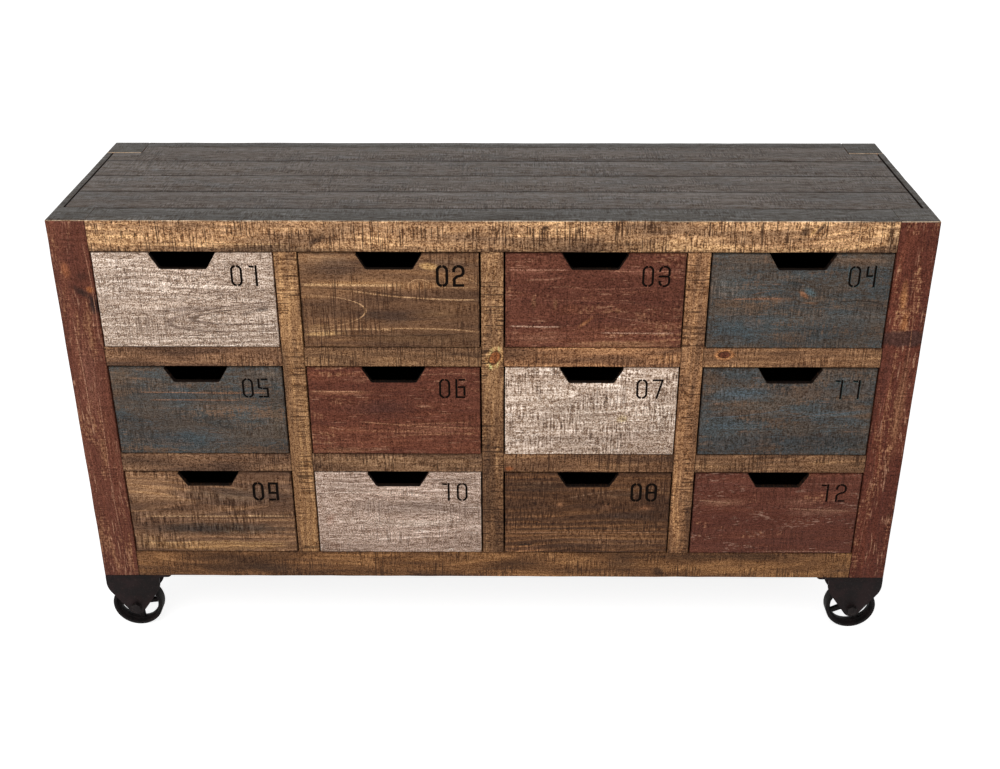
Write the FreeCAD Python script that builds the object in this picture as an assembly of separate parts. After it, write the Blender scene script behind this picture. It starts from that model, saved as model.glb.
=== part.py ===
# Sideboard with twelve numbered drawers on four spoked casters.
# Millimetres, +Z up, -Y is the front, origin on the floor under the middle of the body.
import FreeCAD, Part

import math
import os

Vector = FreeCAD.Vector

# Body, over the posts
body_width = 1524.0
body_depth = 453.0
body_height = 736.0
caster_height = 125.0

# Posts and rails
post_width = 68.0
post_depth = 68.0
top_rail_height = 57.0
bottom_rail_height = 57.0
front_rail_depth = 62.0
back_rail_depth = 31.0
mullion_width = 40.0
mid_rail_height = 38.0
columns = 4
rows = 3

# Top, sides, back and inside
plank_count = 4
plank_thickness = 20.0
plank_seam = 1.0
side_panel_thickness = 12.0
side_groove = 2.0
side_rail_width = 30.0
back_panel_thickness = 9.0
bottom_panel_thickness = 12.0
partition_thickness = 18.0

# Drawer runners
runner_ledge = 17.0
runner_lip_height = 12.0
runner_stop_length = 15.0
runner_stop_height = 24.0

# Drawers
front_thickness = 12.0
front_side_gap = 2.5
front_top_gap = 2.0
front_bottom_gap = 1.0
notch_top_width = 117.0
notch_bottom_width = 81.0
notch_depth = 30.0
notch_top_radius = 10.0
notch_bottom_radius = 8.0
box_side_gap = 3.0
box_lift = 0.5
box_height = 142.0
box_board = 12.0
box_bottom_thickness = 6.0
box_bottom_lift = 8.0

# Caster bracket
plate_length = 128.0
plate_thickness = 5.0
plate_corner_radius = 7.0
cheek_setback = 1.0
cheek_thickness = 5.0
cheek_length = 105.0
cheek_side_height = 31.0
cheek_corner_radius = 8.0
cheek_flare = 6.0
boss_radius = 17.0

# Wheel and axle
wheel_diameter = 97.0
tread_width = 26.0
rim_wall = 6.5
web_ring_wall = 4.0
web_width = 10.0
spoke_count = 4
spoke_width = 11.0
spoke_turns = {"front_left": 7.0, "front_right": 14.0, "back_left": 38.0, "back_right": 61.0}
hub_diameter = 30.0
hub_length = 29.0
hub_play = 0.3
washer_thickness = 1.2
washer_diameter = 24.0
axle_diameter = 12.0
axle_clearance = 0.05
bolt_head_width = 17.0
bolt_head_height = 6.5
nut_height = 10.0
bolt_end = 3.0

# Caster screws
screw_diameter = 4.4
screw_clearance = 0.05
screw_length = 30.0
screw_head_diameter = 9.0
screw_head_height = 2.6
screw_end_inset = 13.0
screw_edge_inset = 11.0

# Planes that follow from the sizes above
left_x = -body_width / 2
right_x = body_width / 2
front_y = -body_depth / 2
back_y = body_depth / 2
bottom_z = caster_height
top_z = caster_height + body_height
rail_back_y = front_y + front_rail_depth
back_plane_y = back_y - back_rail_depth
rail_left_x = left_x + post_width
rail_right_x = right_x - post_width
bottom_rail_top_z = bottom_z + bottom_rail_height
top_rail_bottom_z = top_z - top_rail_height
plank_bottom_z = top_z - plank_thickness
panel_left_x = left_x + side_panel_thickness
panel_right_x = right_x - side_panel_thickness

opening_width = (rail_right_x - rail_left_x - (columns - 1) * mullion_width) / columns
opening_height = (top_rail_bottom_z - bottom_rail_top_z - (rows - 1) * mid_rail_height) / rows
bottom_panel_top_z = bottom_rail_top_z - mid_rail_height

fork_gap = hub_length + 2 * washer_thickness + 2 * hub_play
bracket_width = fork_gap + 2 * cheek_thickness
axle_z = wheel_diameter / 2
axle_inset_x = cheek_length / 2
axle_inset_y = cheek_setback + bracket_width / 2
axle_radius = axle_diameter / 2


def box(x0, x1, y0, y1, z0, z1):
    return Part.makeBox(x1 - x0, y1 - y0, z1 - z0, Vector(x0, y0, z0))


def cylinder_y(x, z, radius, y0, y1):
    return Part.makeCylinder(radius, y1 - y0, Vector(x, y0, z), Vector(0, 1, 0))


def prism_y(points, y0, y1):
    # Extrudes an outline of (x, z) points along Y.
    corners = [Vector(x, y0, z) for x, z in points]
    wire = Part.makePolygon(corners + corners[:1])
    return Part.Face(wire).extrude(Vector(0, y1 - y0, 0))


def hexagon_y(x, z, width, y0, y1):
    # A hexagon with two upright flats, width across them.
    radius = width / math.sqrt(3)
    corners = [math.radians(30 + 60 * i) for i in range(6)]
    return prism_y([(x + radius * math.cos(a), z + radius * math.sin(a)) for a in corners], y0, y1)


def edges_along_y(shape, places):
    # The edges parallel to Y that pass through the given (x, z) places.
    found = []
    for edge in shape.Edges:
        ends = [vertex.Point for vertex in edge.Vertexes]
        if len(ends) != 2 or abs(ends[0].x - ends[1].x) > 0.01 or abs(ends[0].z - ends[1].z) > 0.01:
            continue
        for x, z in places:
            if abs(ends[0].x - x) < 0.01 and abs(ends[0].z - z) < 0.01:
                found.append(edge)
    return found


def save(name, shape):
    shape.exportStep("parts/" + name + ".step")
    print(name, "solids", len(shape.Solids), "volume", round(shape.Volume))


def column_left(column):
    return rail_left_x + column * (opening_width + mullion_width)


def row_bottom(row):
    # Row 0 is the top row.
    return bottom_rail_top_z + (rows - 1 - row) * (opening_height + mid_rail_height)


# Casters: each corner is built at the front left and mirrored to its place

corner_signs = {
    "front_left": (-1, -1),
    "front_right": (1, -1),
    "back_left": (-1, 1),
    "back_right": (1, 1),
}


def to_corner(shape, corner):
    side, end = corner_signs[corner]
    if side > 0:
        shape = shape.mirror(Vector(0, 0, 0), Vector(1, 0, 0))
    if end > 0:
        shape = shape.mirror(Vector(0, 0, 0), Vector(0, 1, 0))
    return shape


axle_x = left_x + axle_inset_x
axle_y = front_y + axle_inset_y
bracket_front_y = front_y + cheek_setback
bracket_back_y = bracket_front_y + bracket_width
plate_bottom_z = bottom_z - plate_thickness


def screw_places():
    # (x, y) of the front left caster's screws: two into the post, one through the ear into the rail.
    post_x = left_x + screw_end_inset
    ear_x = left_x + plate_length - screw_end_inset
    return [
        (post_x, bracket_front_y + screw_edge_inset),
        (post_x, bracket_back_y - screw_edge_inset),
        (ear_x, axle_y),
    ]


def screw_bores(radius, z0, z1):
    return [Part.makeCylinder(radius, z1 - z0, Vector(x, y, z0)) for x, y in screw_places()]


def cheek_outline():
    # Side view of a cheek: two upright ends, then straight to the boss on both sides.
    corner_x = cheek_length / 2
    corner_z = bottom_z - cheek_side_height - axle_z
    # The side is tangent to the boss: its touching point as seen from the axle.
    reach = math.hypot(corner_x, corner_z)
    touch = math.atan2(corner_z, corner_x) - math.acos(boss_radius / reach)
    touch_x = boss_radius * math.cos(touch)
    touch_z = boss_radius * math.sin(touch)
    right = [(corner_x, bottom_z - axle_z), (corner_x, corner_z), (touch_x, touch_z)]
    left = [(-x, z) for x, z in reversed(right)]
    return [(axle_x + x, axle_z + z) for x, z in right + left]


def cheek(y0, y1):
    plain = prism_y(cheek_outline(), y0, y1)
    corner_z = bottom_z - cheek_side_height
    corners = [(left_x, corner_z), (left_x + cheek_length, corner_z)]
    plain = plain.makeFillet(cheek_corner_radius, edges_along_y(plain, corners))
    flare_x = left_x + cheek_length
    flare = box(flare_x, flare_x + cheek_flare, y0, y1, plate_bottom_z - cheek_flare, bottom_z)
    flare = flare.cut(cylinder_y(flare_x + cheek_flare, plate_bottom_z - cheek_flare, cheek_flare, y0, y1))
    return plain.fuse([cylinder_y(axle_x, axle_z, boss_radius, y0, y1), flare])


def bracket():
    plate = box(left_x, left_x + plate_length, bracket_front_y, bracket_back_y, plate_bottom_z, bottom_z)
    ear = [e for e in plate.Edges if e.Length < plate_thickness + 0.01 and e.CenterOfMass.x > axle_x]
    plate = plate.makeFillet(plate_corner_radius, ear)
    solid = plate.fuse([
        cheek(bracket_front_y, bracket_front_y + cheek_thickness),
        cheek(bracket_back_y - cheek_thickness, bracket_back_y),
    ]).removeSplitter()
    holes = screw_bores(screw_diameter / 2 + screw_clearance, plate_bottom_z, bottom_z)
    holes.append(cylinder_y(axle_x, axle_z, axle_radius + axle_clearance, bracket_front_y, bracket_back_y))
    return solid.cut(holes)


def plate_screws():
    screws = []
    for x, y in screw_places():
        head_z = plate_bottom_z - screw_head_height
        head = Part.makeCylinder(screw_head_diameter / 2, screw_head_height, Vector(x, y, head_z))
        shank = Part.makeCylinder(screw_diameter / 2, screw_length, Vector(x, y, plate_bottom_z))
        screws.append(head.fuse(shank))
    return screws


def ring_y(x, z, outer_radius, inner_radius, y0, y1):
    return cylinder_y(x, z, outer_radius, y0, y1).cut(cylinder_y(x, z, inner_radius, y0, y1))


def wheel(turn):
    outer = wheel_diameter / 2
    rim_inner = outer - rim_wall
    web_inner = rim_inner - web_ring_wall
    hub_radius = hub_diameter / 2
    rim = ring_y(axle_x, axle_z, outer, rim_inner, axle_y - tread_width / 2, axle_y + tread_width / 2)
    web_outer = rim_inner + rim_wall / 2
    web = ring_y(axle_x, axle_z, web_outer, web_inner, axle_y - web_width / 2, axle_y + web_width / 2)
    hub = cylinder_y(axle_x, axle_z, hub_radius, axle_y - hub_length / 2, axle_y + hub_length / 2)
    solid = rim.fuse([web, hub])
    for i in range(spoke_count):
        spoke = box(
            axle_x, axle_x + web_inner + web_ring_wall / 2,
            axle_y - web_width / 2, axle_y + web_width / 2,
            axle_z - spoke_width / 2, axle_z + spoke_width / 2,
        )
        spoke.rotate(Vector(axle_x, axle_y, axle_z), Vector(0, -1, 0), turn + 360.0 * i / spoke_count)
        solid = solid.fuse(spoke)
    bore = cylinder_y(axle_x, axle_z, axle_radius + axle_clearance, axle_y - hub_length, axle_y + hub_length)
    return solid.cut(bore).removeSplitter()


def axle_bolt():
    head_y = bracket_front_y - bolt_head_height
    head = hexagon_y(axle_x, axle_z, bolt_head_width, head_y, bracket_front_y)
    top_radius = bolt_head_width / 2
    cone = Part.makeCone(
        top_radius, top_radius + 2 * bolt_head_height, 2 * bolt_head_height,
        Vector(axle_x, head_y, axle_z), Vector(0, 1, 0),
    )
    shank = cylinder_y(axle_x, axle_z, axle_radius, bracket_front_y, bracket_back_y + nut_height + bolt_end)
    return head.common(cone).fuse(shank)


def axle_nut():
    nut = hexagon_y(axle_x, axle_z, bolt_head_width, bracket_back_y, bracket_back_y + nut_height)
    bore_radius = axle_radius + axle_clearance
    return nut.cut(cylinder_y(axle_x, axle_z, bore_radius, bracket_back_y, bracket_back_y + nut_height))


def hub_washers():
    inner_front_y = bracket_front_y + cheek_thickness
    inner_back_y = bracket_back_y - cheek_thickness
    outer = washer_diameter / 2
    inner = axle_radius + axle_clearance
    return [
        ring_y(axle_x, axle_z, outer, inner, inner_front_y, inner_front_y + washer_thickness),
        ring_y(axle_x, axle_z, outer, inner, inner_back_y - washer_thickness, inner_back_y),
    ]


# Frame

def screw_holes_everywhere():
    # Pilot holes in the wood for the caster screws at all four corners.
    tip_z = plate_bottom_z + screw_length + screw_clearance
    bores = screw_bores(screw_diameter / 2 + screw_clearance, bottom_z, tip_z)
    return [to_corner(bore, corner) for corner in corner_signs for bore in bores]


def post(corner):
    solid = box(left_x, rail_left_x, front_y, front_y + post_depth, bottom_z, top_z)
    return to_corner(solid, corner).cut(screw_holes_everywhere())


def front_rail(z0, z1):
    return box(rail_left_x, rail_right_x, front_y, rail_back_y, z0, z1)


def back_rail(z0, z1):
    return box(rail_left_x, rail_right_x, back_plane_y, back_y, z0, z1)


def mullion(index):
    x0 = column_left(index) + opening_width
    return box(x0, x0 + mullion_width, front_y, rail_back_y, bottom_rail_top_z, top_rail_bottom_z)


def mid_rails(row):
    # The rails under one row of drawers.
    z1 = row_bottom(row)
    rails = []
    for column in range(columns):
        x0 = column_left(column)
        rails.append(box(x0, x0 + opening_width, front_y, rail_back_y, z1 - mid_rail_height, z1))
    return Part.makeCompound(rails)


def side_panels(side):
    x0, x1 = (left_x, panel_left_x) if side < 0 else (panel_right_x, right_x)
    return box(x0, x1, front_y + post_depth, back_y - post_depth, bottom_z, top_z)


def side_rails():
    rails = []
    for x0 in (panel_left_x, panel_right_x - side_rail_width):
        for z0, z1 in ((bottom_z, bottom_rail_top_z), (top_rail_bottom_z, plank_bottom_z)):
            rails.append(box(x0, x0 + side_rail_width, front_y + post_depth, back_y - post_depth, z0, z1))
    solids = Part.makeCompound(rails).cut(screw_holes_everywhere()).Solids
    return Part.makeCompound(solids)


def top_plank(index):
    pitch = (back_plane_y - rail_back_y) / plank_count
    y0 = rail_back_y + index * pitch + plank_seam
    y1 = rail_back_y + (index + 1) * pitch
    end = panel_right_x - side_groove
    plank = box(-end, end, y0, y1, plank_bottom_z, top_z)
    posts = []
    for corner in corner_signs:
        corner_box = box(
            left_x, rail_left_x + plank_seam, front_y, front_y + post_depth + plank_seam,
            bottom_z, top_z,
        )
        posts.append(to_corner(corner_box, corner))
    return plank.cut(posts)


def bottom_panel():
    x = panel_right_x - side_rail_width
    z0 = bottom_panel_top_z - bottom_panel_thickness
    panel = box(-x, x, rail_back_y, back_plane_y, z0, bottom_panel_top_z)
    posts = []
    for corner in corner_signs:
        corner_box = box(left_x, rail_left_x, front_y, front_y + post_depth, bottom_z, top_z)
        posts.append(to_corner(corner_box, corner))
    return panel.cut(posts + screw_holes_everywhere())


def back_panel():
    y1 = back_plane_y + back_panel_thickness
    return box(rail_left_x, rail_right_x, back_plane_y, y1, bottom_rail_top_z, top_rail_bottom_z)


def partitions():
    boards = []
    for index in range(columns - 1):
        middle = column_left(index) + opening_width + mullion_width / 2
        boards.append(box(
            middle - partition_thickness / 2, middle + partition_thickness / 2,
            rail_back_y, back_plane_y, bottom_panel_top_z, plank_bottom_z,
        ))
    return Part.makeCompound(boards)


def runner(column, row, side):
    # A rail for one edge of a drawer: a ledge, a lip where a partition leaves room, and a back stop.
    edge = column_left(column) if side < 0 else column_left(column) + opening_width
    outermost = (column == 0 and side < 0) or (column == columns - 1 and side > 0)
    lip = 0.0 if outermost else (mullion_width - partition_thickness) / 2
    z1 = row_bottom(row)
    x_out = edge + side * lip
    x_in = edge - side * runner_ledge
    low, high = min(x_out, x_in), max(x_out, x_in)
    stop_y = back_plane_y - runner_stop_length
    solid = box(low, high, rail_back_y, back_plane_y, z1 - mid_rail_height, z1)
    solid = solid.fuse(box(low, high, stop_y, back_plane_y, z1, z1 + runner_stop_height))
    if lip:
        low, high = min(x_out, edge), max(x_out, edge)
        solid = solid.fuse(box(low, high, rail_back_y, back_plane_y, z1, z1 + runner_lip_height))
    return solid.removeSplitter()


def runners():
    solids = []
    for row in range(rows):
        for column in range(columns):
            for side in (-1, 1):
                solids.append(runner(column, row, side))
    return Part.makeCompound(solids)


# Drawers

def notch(middle, top):
    # The finger notch: wider at the top, with its four corners rounded.
    deep = top - notch_depth
    half_top = notch_top_width / 2
    half_bottom = notch_bottom_width / 2
    outline = [
        (middle - half_bottom, deep), (middle + half_bottom, deep),
        (middle + half_top, top), (middle - half_top, top),
    ]
    solid = prism_y(outline, front_y, front_y + front_thickness)
    low = [(middle - half_bottom, deep), (middle + half_bottom, deep)]
    return solid.makeFillet(notch_bottom_radius, edges_along_y(solid, low))


def drawer_front(column, row):
    x0 = column_left(column) + front_side_gap
    x1 = column_left(column) + opening_width - front_side_gap
    z0 = row_bottom(row) + front_bottom_gap
    z1 = row_bottom(row) + opening_height - front_top_gap
    middle = (x0 + x1) / 2
    board = box(x0, x1, front_y, front_y + front_thickness, z0, z1)
    board = board.cut(notch(middle, z1))
    lips = [(middle - notch_top_width / 2, z1), (middle + notch_top_width / 2, z1)]
    return board.makeFillet(notch_top_radius, edges_along_y(board, lips))


def drawer_box(column, row):
    x0 = column_left(column) + box_side_gap
    x1 = column_left(column) + opening_width - box_side_gap
    y0 = front_y + front_thickness
    y1 = back_plane_y - runner_stop_length
    z0 = row_bottom(row) + box_lift
    z1 = z0 + box_height
    floor_z = z0 + box_bottom_lift
    return Part.makeCompound([
        box(x0, x0 + box_board, y0, y1, z0, z1),
        box(x1 - box_board, x1, y0, y1, z0, z1),
        box(x0 + box_board, x1 - box_board, y1 - box_board, y1, z0, z1),
        box(x0 + box_board, x1 - box_board, y0, y1 - box_board, floor_z, floor_z + box_bottom_thickness),
    ])


def main():
    os.makedirs("parts", exist_ok=True)

    for corner in corner_signs:
        save("post_" + corner, post(corner))
    save("rail_front_top", front_rail(top_rail_bottom_z, top_z))
    save("rail_front_bottom", front_rail(bottom_z, bottom_rail_top_z).cut(screw_holes_everywhere()))
    save("rail_back_top", back_rail(top_rail_bottom_z, top_z))
    save("rail_back_bottom", back_rail(bottom_z, bottom_rail_top_z).cut(screw_holes_everywhere()))
    for index in range(columns - 1):
        save("mullion_" + str(index + 1), mullion(index))
    for row in range(rows - 1):
        save("mid_rails_" + str(row + 1), mid_rails(row))

    for index in range(plank_count):
        save("top_plank_" + str(index + 1), top_plank(index))
    save("side_panel_left", side_panels(-1))
    save("side_panel_right", side_panels(1))
    save("side_rails", side_rails())
    save("back_panel", back_panel())
    save("bottom_panel", bottom_panel())
    save("partitions", partitions())
    save("drawer_runners", runners())

    for row in range(rows):
        for column in range(columns):
            place = "r%d_c%d" % (row + 1, column + 1)
            save("drawer_front_" + place, drawer_front(column, row))
            save("drawer_box_" + place, drawer_box(column, row))

    for corner in corner_signs:
        side, end = corner_signs[corner]
        save("caster_bracket_" + corner, to_corner(bracket(), corner))
        turned = wheel(side * -spoke_turns[corner])
        save("caster_wheel_" + corner, to_corner(turned, corner))

    bolts = [to_corner(axle_bolt(), corner) for corner in corner_signs]
    nuts = [to_corner(axle_nut(), corner) for corner in corner_signs]
    washers = [to_corner(washer, corner) for corner in corner_signs for washer in hub_washers()]
    screws = [to_corner(screw, corner) for corner in corner_signs for screw in plate_screws()]
    save("axle_bolts", Part.makeCompound(bolts))
    save("axle_nuts", Part.makeCompound(nuts))
    save("hub_washers", Part.makeCompound(washers))
    save("plate_screws", Part.makeCompound(screws))


main()
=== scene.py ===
import bmesh
import bpy
import math
from mathutils import Matrix, Vector, noise
from types import SimpleNamespace


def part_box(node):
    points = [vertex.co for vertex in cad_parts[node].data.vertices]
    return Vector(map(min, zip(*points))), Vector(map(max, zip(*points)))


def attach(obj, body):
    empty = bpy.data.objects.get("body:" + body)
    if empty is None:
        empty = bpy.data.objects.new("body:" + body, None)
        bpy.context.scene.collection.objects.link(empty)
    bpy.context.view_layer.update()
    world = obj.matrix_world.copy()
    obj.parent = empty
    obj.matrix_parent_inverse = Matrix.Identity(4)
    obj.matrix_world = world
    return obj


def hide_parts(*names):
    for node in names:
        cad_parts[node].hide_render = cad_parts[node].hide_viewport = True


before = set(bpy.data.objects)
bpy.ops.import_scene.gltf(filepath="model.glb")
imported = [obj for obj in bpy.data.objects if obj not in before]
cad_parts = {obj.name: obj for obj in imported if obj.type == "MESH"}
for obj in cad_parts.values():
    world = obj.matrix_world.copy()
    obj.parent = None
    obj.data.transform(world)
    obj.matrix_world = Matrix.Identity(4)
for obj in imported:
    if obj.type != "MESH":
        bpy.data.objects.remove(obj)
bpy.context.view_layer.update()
mm = 0.001
corners = ("front_left", "front_right", "back_left", "back_right")
white = (1.0, 1.0, 1.0)


def tone(red, green, blue):
    # A colour as it is seen on screen, 0 to 255, made into the linear one that nodes use.
    def linear(value):
        value = value / 255
        return value / 12.92 if value <= 0.04045 else ((value + 0.055) / 1.055) ** 2.4
    return (linear(red), linear(green), linear(blue), 1.0)


class Value:
    # A number that nodes work out. A sum written with it makes the nodes for that sum.

    def __init__(self, nodes, socket):
        self.nodes = nodes
        self.socket = socket

    def __add__(self, other):
        return self.nodes.math("ADD", self, other)

    def __sub__(self, other):
        return self.nodes.math("SUBTRACT", self, other)

    def __rsub__(self, other):
        return self.nodes.math("SUBTRACT", other, self)

    def __mul__(self, other):
        return self.nodes.math("MULTIPLY", self, other)

    def __truediv__(self, other):
        return self.nodes.math("DIVIDE", self, other)

    def __abs__(self):
        return self.nodes.math("ABSOLUTE", self)

    __radd__ = __add__
    __rmul__ = __mul__


class Nodes:
    # A node tree, with short calls for its nodes.

    def __init__(self, tree):
        self.tree = tree
        tree.nodes.clear()

    def node(self, kind, **settings):
        made = self.tree.nodes.new(kind)
        for key, value in settings.items():
            setattr(made, key, value)
        return made

    def put(self, socket, value):
        if isinstance(value, Value):
            value = value.socket
        if isinstance(value, bpy.types.NodeSocket):
            self.tree.links.new(value, socket)
        else:
            socket.default_value = value

    def fed(self, made, *values):
        for socket, value in zip(made.inputs, values):
            self.put(socket, value)
        return made.outputs

    def math(self, operation, *values):
        return Value(self, self.fed(self.node("ShaderNodeMath", operation=operation), *values)[0])

    def vector(self, operation, *values):
        return self.fed(self.node("ShaderNodeVectorMath", operation=operation), *values)["Vector"]

    def length(self, vector):
        return Value(self, self.fed(self.node("ShaderNodeVectorMath", operation="LENGTH"), vector)["Value"])

    def split(self, vector):
        return [Value(self, part) for part in self.fed(self.node("ShaderNodeSeparateXYZ"), vector)]

    def attribute(self, name):
        return self.node("ShaderNodeAttribute", attribute_name=name).outputs["Vector"]

    def noise(self, place, scale, detail=2.0, rough=0.55):
        made = self.node("ShaderNodeTexNoise")
        self.put(made.inputs["Vector"], self.vector("MULTIPLY", place, scale))
        for key, number in (("Scale", 1.0), ("Detail", detail), ("Roughness", rough)):
            made.inputs[key].default_value = number
        return Value(self, made.outputs[0])

    def span(self, value, low, high, start=0.0, end=1.0):
        # Maps low..high smoothly to start..end.
        made = self.node("ShaderNodeMapRange", interpolation_type="SMOOTHSTEP")
        return Value(self, self.fed(made, value, low, high, start, end)[0])

    def mix(self, factor, first, second, blend="MIX"):
        made = self.node("ShaderNodeMix", data_type="RGBA", blend_type=blend)
        for place, value in ((0, factor), (6, first), (7, second)):
            self.put(made.inputs[place], value)
        return made.outputs[2]

    def directRay(self):
        # 1 for what the camera sees straight, in a gloss or through glass, and 0 for light on the object.
        path = self.node("ShaderNodeLightPath").outputs
        bounced = self.math("MAXIMUM", path["Is Glossy Ray"], path["Is Transmission Ray"])
        return self.math("MAXIMUM", path["Is Camera Ray"], bounced)


class Finish(Nodes):
    # One material.

    def __init__(self, name):
        self.material = bpy.data.materials.new(name)
        self.material.use_nodes = True
        super().__init__(self.material.node_tree)
        self.place = self.node("ShaderNodeTexCoord").outputs["Object"]

    def close(self, colour, roughness, height, lift, reach, **fixed):
        shader = self.node("ShaderNodeBsdfPrincipled")
        bump = self.node("ShaderNodeBump")
        bump.inputs["Strength"].default_value = lift
        bump.inputs["Distance"].default_value = reach
        self.put(bump.inputs["Height"], height)
        self.put(shader.inputs["Base Color"], colour)
        self.put(shader.inputs["Roughness"], roughness)
        self.put(shader.inputs["Normal"], bump.outputs[0])
        for key, value in fixed.items():
            shader.inputs[key.replace("_", " ")].default_value = value
        self.put(self.node("ShaderNodeOutputMaterial").inputs[0], shader.outputs[0])
        return self.material


# Wood finishes. Every look starts from these values and changes the ones it names.
# Colours are as seen on screen, and lengths are in metres.
# drop and rise are the shares that red, green and blue lose in the darkest parts and gain in the lightest.
# Marks are written in mm from a left and a top edge, and placed() turns them into metres in the frame:
# a spot is (x, y, half width, half height, turn, colour, strength, soft);
# a band, which runs the whole length of a board, is (y, half width, colour, strength);
# a line is (x, y, end x, end y, bow, half width, colour, strength);
# an arch is (x, y, half width, half height, turn, line width, colour, strength);
# a knot is (x, y, half width, half height, turn, halo colour, core colour).
plainLook = {
    "grain": "x",
    "middle": (120, 88, 62),
    "drop": (0.26, 0.27, 0.24),
    "rise": (0.42, 0.46, 0.42),
    "patch": 1.1,                 # how much each pattern moves the tone between these
    "broad": 0.9,
    "fibre": 0.5,
    "growth": 0.2,
    "fine": 1.0,                  # how much each of these brightens and darkens it
    "hair": 0.4,
    "tick": 1.2,
    "speck": 2.4,
    "patchScale": (4.0, 42.0),
    "broadScale": (2.2, 12.0),
    "fibreScale": (6.0, 150.0),
    "fineScale": (150.0, 430.0),
    "hairScale": (20.0, 360.0),
    "tickScale": (400.0, 70.0),
    "speckScale": 470.0,
    "sway": 0.02,                 # how far the grain wanders, metres
    "swayScale": (5.0, 18.0),
    "regionScale": (12.0, 34.0),  # where saw marks gather
    "ringWidth": 0.010,
    "ringPlace": (0.0, 0.035),    # the pith's place across the grain and behind the face, metres
    "ringTilt": 0.07,
    "bare": None,                 # middle colour of the wood where paint is rubbed off
    "bareLevel": 0.62,            # lower shows more bare wood
    "bareSoft": 0.05,
    "bareScale": (8.0, 26.0),
    "wash": None,                 # a second colour of paint, in patches
    "washLevel": 0.55,
    "washSoft": 0.07,
    "washScale": (9.0, 26.0),
    "washAmount": 0.7,
    "cutColour": (66, 42, 27),    # dark saw cuts
    "cutAmount": 0.55,
    "cutLevel": 0.60,
    "cutSoft": 0.07,
    "cutScale": (420.0, 15.0),
    "cutRegion": 0.48,
    "scratchColour": None,        # light scratches along the grain
    "scratchAmount": 0.6,
    "scratchLevel": 0.63,
    "scratchSoft": 0.05,
    "scratchScale": (26.0, 330.0),
    "scratchRegionScale": (14.0, 40.0),
    "poreColour": (50, 34, 24),
    "poreAmount": 0.5,
    "poreLevel": 0.62,
    "poreSoft": 0.06,
    "poreScale": 420.0,
    "poreRegion": 0.5,
    "poreRegionScale": (12.0, 40.0),
    "edgeColour": (170, 132, 92),
    "edgeAmount": 0.35,
    "edgeWidth": 0.002,
    "edgeBreak": 0.008,           # how far the border of the edge colour wanders
    "edgeBreakScale": (60.0, 120.0),
    "lower": None,                # (tint, full at, gone at): painted shade, a darker tint that comes in towards the floor
    "spots": (),
    "blotScale": 85.0,            # how fine the outlines of spots and knots wander
    "markAt": 0.0,                # the spots' place and reach from front to back
    "markDepth": 50.0,
    "bands": (),
    "lines": (),
    "arches": (),
    "knots": (),
    "marked": True,               # False for a CAD mesh, which has no board marks
    "rough": 0.62,
    "relief": 0.6,
    "reliefReach": 0.0008,
}
# Places on the field of tone, and the share of drop or rise at each
toneStops = ((0.1, -1.0), (0.33, -0.42), (0.5, 0.0), (0.68, 0.4), (0.92, 1.0))


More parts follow.
